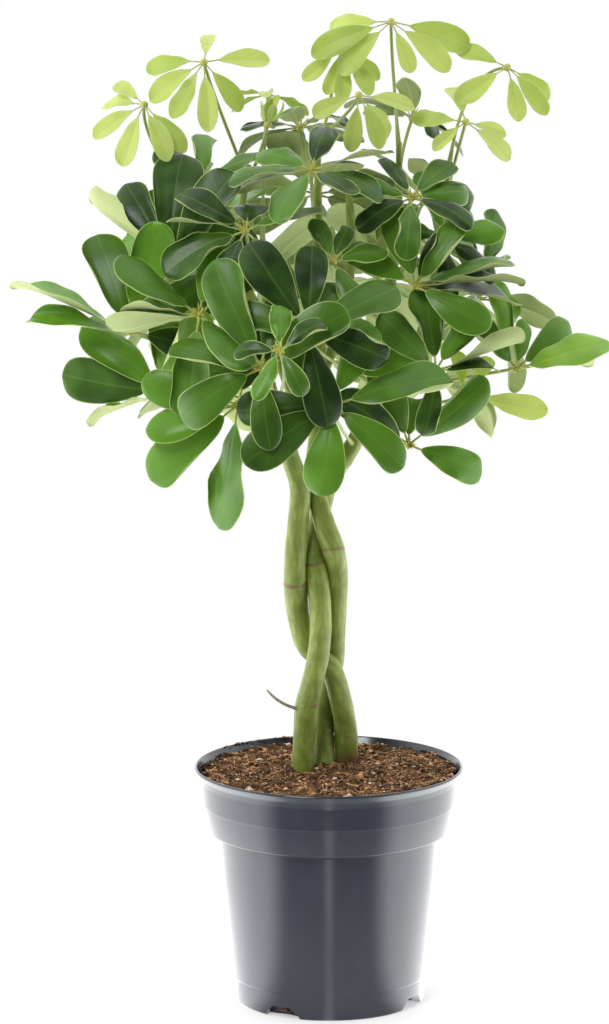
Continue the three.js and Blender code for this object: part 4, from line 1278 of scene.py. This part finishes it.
class Whorl:
    """Where a frond's stalk and leaflets run, worked out as in its solid."""

    def __init__(self, name):
        stem, height, hub, self.face_angles, self.length, self.entries = FRONDS[name][:6]
        self.name = name
        self.age_name = frond_age(name)
        self.age = AGES[self.age_name]
        self.foot = COURSES[stem].at_height(height)
        self.hub = Vector(hub)
        turn, tilt = (math.radians(angle) for angle in self.face_angles)
        self.face = Vector((math.cos(tilt) * math.sin(turn), -math.cos(tilt) * math.cos(turn),
                            math.sin(tilt)))
        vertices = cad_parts[f"frond_{name}"].data.vertices
        self.solid = kdtree.KDTree(len(vertices))
        for vertex in vertices:
            self.solid.insert(vertex.co / MM, vertex.index)
        self.solid.balance()

    def in_solid(self, points):
        """Whether the solid has a vertex at each of the points."""
        return all(self.solid.find(point)[2] < PLACED_WITHIN for point in points)

    def stalk_line(self):
        """The bend of the stalk that the solid has, as three points of a curve."""
        reach = (self.hub - self.foot).length
        sideways = (self.hub - self.foot).cross(self.face).normalized()
        for bow in STALK_BOWS:
            bend = self.hub - self.face * (STALK_ARCH * reach) + sideways * (bow * reach)
            line = (self.foot, bend, self.hub)
            plane = (bend - self.foot).cross(self.hub - bend).normalized()
            if self.in_solid([curve_point(line, 0.45) + plane * STALK_RADIUS]):
                return line
        raise ValueError(f"the stalk of frond_{self.name} isn't where it is expected")

    def direction(self, angle):
        """The way from the hub at an angle round the whorl."""
        turn = math.radians(self.face_angles[0])
        level = Vector((math.cos(turn), math.sin(turn), 0))
        upward = self.face.cross(level)
        return level * math.cos(math.radians(angle)) + upward * math.sin(math.radians(angle))

    def leaflets(self, index):
        """The leaflets as the solid has them: none where it has left one out."""
        random = random_stream(LEAFLET_SEED[0] + LEAFLET_SEED[1] * index)
        for entry in self.entries:
            angle, share, roll = (*entry, 0)[:3] if isinstance(entry, tuple) else (entry, 1, 0)
            length = self.length * share * (1 + VARIATION["length"] * either_way(random))
            character = {
                "length": length,
                "angle": angle + VARIATION["swing"] * either_way(random),
                "start": self.age["start"] + VARIATION["start"] * either_way(random),
                "bend": self.age["bend"] + VARIATION["bend"] * either_way(random),
                "roll": roll + VARIATION["roll"] * either_way(random),
                "half_width": self.age["width"] * length
                * (1 + VARIATION["length"] * either_way(random)) / 2,
            }
            for way in WAYS_CLEAR:
                leaflet = Leaflet(self, character, way)
                if self.in_solid(leaflet.marks()):
                    yield leaflet
                    break


class Leaflet:
    """The arc, width and roll of one leaflet."""

    def __init__(self, whorl, character, way):
        lift, swing, roll, size = way
        self.whorl = whorl
        self.out = whorl.direction(character["angle"] + swing)
        self.side = whorl.face.cross(self.out)
        self.length = character["length"] * size
        self.half_width = character["half_width"] * size
        self.start = math.radians(character["start"] + lift)
        self.bend = math.radians(character["bend"])
        self.roll = math.radians(character["roll"] + roll)

    def section(self, share, twist=0.0):
        """Middle, across and over of the section at a share of the length."""
        now = self.start - self.bend * share
        scale = self.length / self.bend
        middle = (self.whorl.hub + self.out * (scale * (math.sin(self.start) - math.sin(now)))
                  + self.whorl.face * (scale * (math.cos(now) - math.cos(self.start))))
        up = self.out * -math.sin(now) + self.whorl.face * math.cos(now)
        roll = self.roll + twist
        across = self.side * math.cos(roll) + up * math.sin(roll)
        over = up * math.cos(roll) - self.side * math.sin(roll)
        return middle, across, over

    def marks(self):
        """Tip and widest corners, which stay as vertices of the solid."""
        middle, across, over = self.section(self.whorl.age["widest"])
        drop = over * (self.whorl.age["ridge"] / 2)
        return [self.section(1)[0], middle + across * self.half_width - drop,
                middle - across * self.half_width - drop]


def either_way(random):
    """A random value from -1 to 1."""
    return 2 * random() - 1


def curve_point(line, share):
    """A point of the curve that leaves foot towards bend and arrives at the end."""
    foot, bend, end = line
    return foot.lerp(bend, share).lerp(bend.lerp(end, share), share)


def blade_width(part, age_name):
    """Half width at a part of the blade, as a share of the widest."""
    if age_name == "mature":
        return part ** 0.62 * math.sqrt(max(1 - part ** 3.2, 0)) / 0.663
    return part ** 0.75 * max(1 - part ** 2.4, 0) ** 0.62 / 0.496


def columns():
    """Where a blade's columns lie, from -1 at one margin to 1 at the other."""
    return [-value for value in reversed(BLADE_COLUMNS[1:])] + list(BLADE_COLUMNS)


def leaflet_habit(random, age_name, level):
    """How one leaflet waves, cups, twists and ends, apart from its place. A level
    one is folded along its midrib."""
    mature = age_name == "mature"
    curly = random() if mature else HABIT["young_curl"] * random()
    if level:
        cup = HABIT["level_cup"]
    else:
        cup = HABIT["cup"] * either_way(random) + HABIT["curly_cup"] * max(curly - 0.5, 0)
    return {
        "cup": cup,
        "wave": HABIT["wave"][0] + HABIT["wave"][1] * curly,
        "waves": HABIT["waves"][0] + HABIT["waves"][1] * random(),
        "phase": 2 * math.pi * random(),
        "twist": math.radians(HABIT["twist"]) * either_way(random),
        "hook": (HABIT["hook"] if mature else HABIT["young_hook"]) * either_way(random),
        "tone": either_way(random),
        "aside": HABIT["aside"] * either_way(random),
        "curls": [margin_curl(random, mature) for _ in range(2)],
    }


def margin_curl(random, mature):
    """How far one margin rolls up, or down where below 0, and whereabouts it does."""
    rolled = random() > ROLLED_ABOVE
    if rolled and mature:
        angle = ROLLED_ANGLE[0] + ROLLED_ANGLE[1] * random()
    else:
        angle = FLAT_ANGLE * random()
    place = CURL_PLACE[0] + CURL_PLACE[1] * random()
    return math.radians(angle), place, CURL_SPREAD[0] + CURL_SPREAD[1] * random()


def rolled_margin(u, half, curl, part):
    """Distance from the midrib, lift and tilt of a point whose margin is rolled."""
    angle, place, spread = curl
    angle *= math.exp(-(((part - place) / spread) ** 2)) * smooth(0, BLADE_FOOT, part)
    beyond = (abs(u) - CURL_START) / (1 - CURL_START)
    if beyond <= 0 or abs(angle) < 0.05:
        return u * half, 0, 0
    radius = half * (1 - CURL_START) / angle
    tilt = angle * beyond
    x = half * CURL_START + radius * math.sin(tilt)
    return math.copysign(x, u), radius * (1 - math.cos(tilt)), math.copysign(tilt, u * angle)


def add_leaflet(shape, leaflet, habit, thickness, tone):
    """Upper side, underside and rim of a blade, and the tube that carries it."""
    age_name = leaflet.whorl.age_name
    ridge = leaflet.whorl.age["ridge"]
    blade_start, carrier = leaflet.whorl.age["blade"], leaflet.whorl.age["carrier"]
    blade = leaflet.length * (1 - blade_start)
    slender = leaflet.whorl.age["slender"]
    across_shares = columns()
    upper, lower = [], []
    for row in range(BLADE_ROWS + 1):
        part = 0.5 * (1 - math.cos(math.pi * min(row / BLADE_ROWS, LAST_ROW)))
        share = blade_start + (1 - blade_start) * part
        middle, across, over = leaflet.section(share, habit["twist"] * (part - 0.3))
        half = math.hypot(leaflet.half_width * slender * blade_width(part, age_name),
                          END_HALF_WIDTH)
        middle = middle + across * (habit["aside"] * math.sin(math.pi * part))
        settled = smooth(0, BLADE_FOOT, part) * smooth(0.5, 5, half)
        top_row, under_row = [], []
        for u in across_shares:
            x, lift, tilt = rolled_margin(u, half, habit["curls"][u > 0], part)
            lift += 0.5 * ridge * (1 - 2 * abs(u) ** 1.7) * settled
            lift += habit["cup"] * half * abs(u) ** 1.6 * settled
            turn = habit["phase"] + 2 * math.pi * habit["waves"] * part
            swing = math.sin(turn + (u > 0) * OTHER_MARGIN_PHASE)
            lift += habit["wave"] * abs(u) ** 2.5 * settled * (1 - 0.5 * part) * swing
            lift -= GROOVE[0] * settled * math.exp(-(x / GROOVE[1]) ** 2) * (1 - part)
            lift += habit["hook"] * smooth(0.55, 1.1, part) ** 2
            point = middle + across * x + over * lift
            normal = over * math.cos(tilt) - across * math.sin(tilt)
            keel = KEEL[0] * math.exp(-(x / KEEL[1]) ** 2) * (1 - KEEL[2] * part)
            depth = thickness * (1 - MARGIN_THINNING * abs(u) ** 6)
            place = (u * half, part * blade, half * (1 - abs(u)))
            top_row.append(shape.add_point(point + normal * (depth / 2), place, tone))
            under_row.append(shape.add_point(point - normal * (depth / 2 + keel), place, tone))
        upper.append(top_row)
        lower.append(under_row)
    last = len(across_shares) - 1
    for row in range(BLADE_ROWS):
        for column in range(last):
            after = column + 1
            shape.add_face((upper[row][column], upper[row][after],
                            upper[row + 1][after], upper[row + 1][column]), 0)
            shape.add_face((lower[row][after], lower[row][column],
                            lower[row + 1][column], lower[row + 1][after]), 1)
        shape.add_face((lower[row][0], upper[row][0], upper[row + 1][0], lower[row + 1][0]), 1)
        shape.add_face((upper[row][last], lower[row][last],
                        lower[row + 1][last], upper[row + 1][last]), 1)
    shape.add_face(tuple(lower[0] + upper[0][::-1]), 1)
    shape.add_face(tuple(upper[-1] + lower[-1][::-1]), 1)
    centres, radii = [], []
    for step in range(PETIOLULE_STEPS + 1):
        share = blade_start * CARRIER_OVERLAP * step / PETIOLULE_STEPS
        middle, _, over = leaflet.section(share)
        centres.append(middle - over * CARRIER_DROP)
        radii.append(carrier * (CARRIER_TAPER[0] - CARRIER_TAPER[1] * step / PETIOLULE_STEPS))
    tones = [CARRIER_TONE[0] - CARRIER_TONE[1] * step for step in range(PETIOLULE_STEPS + 1)]
    add_sweep(shape, centres, radii, PETIOLULE_SIDES, 2, tones)


def add_stalk(shape, whorl):
    """The stalk of a frond, thicker at its foot and swollen to a hub at its end."""
    line = whorl.stalk_line()
    centres, radii = [], []
    for ring in range(STALK_RINGS):
        share = ring / STALK_RINGS
        centres.append(curve_point(line, share))
        swell = (STALK_FOOT_RADIUS - STALK_RADIUS) * (1 - smooth(0, 0.16, share))
        radii.append(STALK_RADIUS + swell)
    axis = (line[2] - line[1]).normalized()
    for rise, radius in HUB_PROFILE:
        centres.append(whorl.hub + axis * (HUB_HEIGHT * rise))
        radii.append(HUB_RADIUS * radius)
    tones = [STALK_TONE] * STALK_RINGS + [HUB_TONE] * len(HUB_PROFILE)
    add_sweep(shape, centres, radii, STALK_SIDES, 2, tones)
    return axis


def add_bracts(shape, whorl, axis, random):
    """The tuft of short pointed bracts in the middle of a mature whorl."""
    side = axis.orthogonal().normalized()
    other = axis.cross(side)
    for index in range(BRACTS):
        turn = 2 * math.pi * (index + 0.6 * random()) / BRACTS
        lean = math.radians(18 + 34 * random())
        outward = side * math.cos(turn) + other * math.sin(turn)
        way = axis * math.cos(lean) + outward * math.sin(lean)
        length = 4.5 + 4 * random()
        start = whorl.hub + way * 1.2
        centres = [start, start + way * (length * 0.5), start + way * length]
        add_sweep(shape, centres, [0.75, 0.5, 0.1], 5, 2, [0.75, 0.85, 0.45])


def crown_tone_with_painted_shade(whorl):
    """How bright a frond's leaflets are on the whole, as painted shade: darker towards the middle
    and the top of the crown, lighter further out and lower. Young fronds get one tone.
    """
    if whorl.age_name != "mature":
        return YOUNG_TONE
    low, high = PAINTED_SHADE_HEIGHTS
    painted_outer_light = smooth(*PAINTED_LIGHT_OUTSIDE, abs(whorl.hub.x))
    return 0.28 + 0.24 * painted_outer_light - 0.3 * (whorl.hub.z - low) / (high - low)


def frond_shape(name, index, settings):
    """A whole frond: its stalk, its bracts where it is mature, and its leaflets."""
    whorl = Whorl(name)
    shape = Shape()
    random = random_stream(HABIT_SEED[0] + HABIT_SEED[1] * index)
    mature = whorl.age_name == "mature"
    axis = add_stalk(shape, whorl)
    if mature:
        add_bracts(shape, whorl, axis, random)
    for leaflet in whorl.leaflets(index):
        level = abs(math.degrees(leaflet.roll)) > LEVEL_ROLL
        habit = leaflet_habit(random, whorl.age_name, level)
        # Painted shade from the frond's place in the crown, with a random spread from one leaflet
        # to the next
        tone = min(max(crown_tone_with_painted_shade(whorl) + TONE_SPREAD * habit["tone"], 0), 1)
        add_leaflet(shape, leaflet, habit, settings.thickness / MM, tone)
    return shape, whorl.age_name


def build_fronds(settings, ages):
    """Adds the fronds of those ages. A frond's place in the table seeds its draws."""
    finishes = leaf_finishes(settings)
    for index, name in enumerate(FRONDS):
        if frond_age(name) in ages:
            shape, age_name = frond_shape(name, index, settings)
            make_piece(f"{name}_leaves", shape, finishes[age_name], [f"frond_{name}"])


# Stage


def build_floor(settings):
    """A white light table: it glows all round but is dark where it faces the camera, so the pot
    mirrors a dark middle, bright sides and one narrow bright line, which ends where the upper
    collar mirrors it. The camera sees it plain white. Its glow isn't sampled as a light, because
    that takes longer."""
    material, tree = new_material("light_table")
    spots = add_node(tree, "TexCoord").outputs["Object"]
    level = add_node(tree, "SeparateXYZ", None, {0: spots})
    front = add_node(tree, "Math", {"operation": "MULTIPLY", 1: -1.0}, {0: level.outputs[1]})
    turn = add_node(tree, "Math", {"operation": "ARCTAN2"}, {0: level.outputs[0], 1: front})
    aside = add_node(tree, "Math", {"operation": "ABSOLUTE"}, {0: turn})
    around = add_node(tree, "MapRange",
                      {**SMOOTHSTEP, "From Min": math.radians(38), "From Max": math.radians(66),
                       "To Min": settings.front_glow, "To Max": settings.side_glow},
                      {"Value": aside})
    line = add_node(tree, "MapRange",
                    {**SMOOTHSTEP, "From Min": math.radians(0.5), "From Max": math.radians(5.5),
                     "To Min": 2.1, "To Max": 0.0}, {"Value": aside})
    reach = add_node(tree, "VectorMath", {"operation": "LENGTH"}, {0: spots})
    behind = add_node(tree, "MapRange",
                      {"From Min": math.radians(95), "From Max": math.radians(165),
                       "To Min": 1.0, "To Max": 0.45}, {"Value": aside})
    dimmed = add_node(tree, "Math", {"operation": "MULTIPLY"}, {0: around, 1: behind})
    inner = add_node(tree, "ValToRGB",
                     {"stops": [(0.19, (0.5,) * 3), (0.22, (1,) * 3), (0.32, (1,) * 3),
                                (0.345, (0,) * 3)]},
                     {"Fac": reach.outputs["Value"]})
    lit = add_node(tree, "Math", {"operation": "MULTIPLY_ADD"}, {0: line, 1: inner, 2: dimmed})
    path = add_node(tree, "LightPath")
    seen = path.outputs["Is Camera Ray"]
    near_glow = add_node(tree, "Mix", {3: settings.plain_glow}, {0: seen, 2: lit})
    far_glow = add_node(tree, "Mix", {3: 1.0}, {0: seen, 2: lit})
    near = add_node(tree, "BsdfPrincipled",
                    {"Base Color": (*settings.floor, 1), "Roughness": 0.7,
                     "Emission Color": (1, 1, 1, 1)}, {"Emission Strength": near_glow})
    far = add_node(tree, "Emission", None, {"Strength": far_glow})
    away = add_node(tree, "MapRange", {**SMOOTHSTEP, "From Min": 0.12, "From Max": 0.3},
                    {"Value": reach.outputs["Value"]})
    shader = add_node(tree, "MixShader", None, {0: away, 1: near, 2: far})
    add_node(tree, "OutputMaterial", None, {"Surface": shader})
    material.cycles.emission_sampling = "NONE"
    half = FLOOR_HALF
    mesh = bpy.data.meshes.new("floor")
    corners = [(-half, -half, 0), (half, -half, 0), (half, half, 0), (-half, half, 0)]
    mesh.from_pydata(corners, [], [(0, 1, 2, 3)])
    mesh.materials.append(material)
    floor = link_object("floor", mesh)


def build_lights(settings):
    """White surroundings that are darker towards the camera, and a soft key light."""
    world = bpy.data.worlds.new("studio")
    world.use_nodes = True
    bpy.context.scene.world = world
    tree = world.node_tree
    tree.nodes.clear()
    way = add_node(tree, "TexCoord").outputs["Generated"]
    parts = add_node(tree, "SeparateXYZ", None, {0: way})
    bright = add_node(tree, "MapRange",
                      {**SMOOTHSTEP, "From Min": -0.55, "From Max": 0.05,
                       "To Min": settings.front_sky, "To Max": settings.side_sky},
                      {"Value": parts.outputs[1]})
    lit = add_node(tree, "Background", {"Color": (1, 1, 1, 1)}, {"Strength": bright})
    seen = add_node(tree, "Background", {"Color": (1, 1, 1, 1), "Strength": 1.0})
    path = add_node(tree, "LightPath")
    mix = add_node(tree, "MixShader", None, {0: path.outputs["Is Camera Ray"], 1: lit, 2: seen})
    add_node(tree, "OutputWorld", None, {"Surface": mix})
    light = bpy.data.lights.new("key_light", "AREA")
    light.shape = "RECTANGLE"
    light.size = light.size_y = KEY_LIGHT_SIZE
    light.energy = settings.key
    holder = link_object("key_light", light)
    holder.location = KEY_LIGHT_PLACE
    way = Vector(KEY_LIGHT_TARGET) - Vector(KEY_LIGHT_PLACE)
    holder.rotation_euler = way.to_track_quat("-Z", "Y").to_euler()


def build_camera():
    """The camera at the photograph's angle and distance."""
    camera = bpy.data.cameras.new("camera")
    camera.lens = CAMERA_LENS
    camera.sensor_width = CAMERA_SENSOR
    camera.clip_end = CAMERA_REACH
    holder = link_object("camera", camera)
    holder.location = CAMERA_PLACE
    holder.rotation_euler = (math.pi / 2 - CAMERA_PITCH, 0, 0)
    bpy.context.scene.camera = holder


# Operators


class PLANT_OT_add_pot(bpy.types.Operator):
    """Add the moulded pot with its collar, rim and drain notches"""

    bl_idname = "plant.add_pot"
    bl_label = "Add pot"

    def execute(self, context):
        build_pot(context.scene.plant_pot)
        return {"FINISHED"}


class PLANT_OT_add_peat(bpy.types.Operator):
    """Add the peat with its crumbs, fibres and perlite"""

    bl_idname = "plant.add_peat"
    bl_label = "Add peat"

    def execute(self, context):
        build_peat(context.scene.plant_peat)
        return {"FINISHED"}


class PLANT_OT_add_trunks(bpy.types.Operator):
    """Add the three braided trunks with their branches and scars"""

    bl_idname = "plant.add_trunks"
    bl_label = "Add trunks"

    def execute(self, context):
        build_trunks(context.scene.plant_bark)
        return {"FINISHED"}


class PLANT_OT_add_mature_fronds(bpy.types.Operator):
    """Add the dark fronds of the crown"""

    bl_idname = "plant.add_mature_fronds"
    bl_label = "Add mature fronds"

    def execute(self, context):
        build_fronds(context.scene.plant_leaf, ("mature",))
        return {"FINISHED"}


class PLANT_OT_add_young_fronds(bpy.types.Operator):
    """Add the lime fronds that stand above the crown"""

    bl_idname = "plant.add_young_fronds"
    bl_label = "Add young fronds"

    def execute(self, context):
        build_fronds(context.scene.plant_leaf, ("young", "unfolding"))
        return {"FINISHED"}


class PLANT_OT_add_stage(bpy.types.Operator):
    """Add the floor, the lights and the camera"""

    bl_idname = "plant.add_stage"
    bl_label = "Add stage"

    def execute(self, context):
        build_floor(context.scene.plant_stage)
        build_lights(context.scene.plant_stage)
        build_camera()
        context.scene.view_settings.view_transform = "Standard"
        return {"FINISHED"}


SETTINGS = {
    "plant_pot": PlantPotSettings,
    "plant_peat": PlantPeatSettings,
    "plant_bark": PlantBarkSettings,
    "plant_leaf": PlantLeafSettings,
    "plant_stage": PlantStageSettings,
}
OPERATORS = (
    PLANT_OT_add_pot,
    PLANT_OT_add_peat,
    PLANT_OT_add_trunks,
    PLANT_OT_add_mature_fronds,
    PLANT_OT_add_young_fronds,
    PLANT_OT_add_stage,
)


class PLANT_PT_panel(bpy.types.Panel):
    """Lists the settings and the operators"""

    bl_idname = "PLANT_PT_panel"
    bl_label = "Umbrella plant"
    bl_space_type = "VIEW_3D"
    bl_region_type = "UI"
    bl_category = "Plant"

    def draw(self, context):
        for group in SETTINGS:
            box = self.layout.box()
            for name in SETTINGS[group].__annotations__:
                box.prop(getattr(context.scene, group), name)
        for operator in OPERATORS:
            self.layout.operator(operator.bl_idname)


def register():
    for group, kind in SETTINGS.items():
        bpy.utils.register_class(kind)
        setattr(bpy.types.Scene, group, bpy.props.PointerProperty(type=kind))
    for kind in (*OPERATORS, PLANT_PT_panel):
        bpy.utils.register_class(kind)


def unregister():
    for kind in (PLANT_PT_panel, *reversed(OPERATORS)):
        bpy.utils.unregister_class(kind)
    for group, kind in reversed(SETTINGS.items()):
        delattr(bpy.types.Scene, group)
        bpy.utils.unregister_class(kind)


def main():
    register()
    bpy.ops.plant.add_stage()
    bpy.ops.plant.add_pot()
    bpy.ops.plant.add_peat()
    bpy.ops.plant.add_trunks()
    bpy.ops.plant.add_mature_fronds()
    bpy.ops.plant.add_young_fronds()


if __name__ == "__main__":
    main()
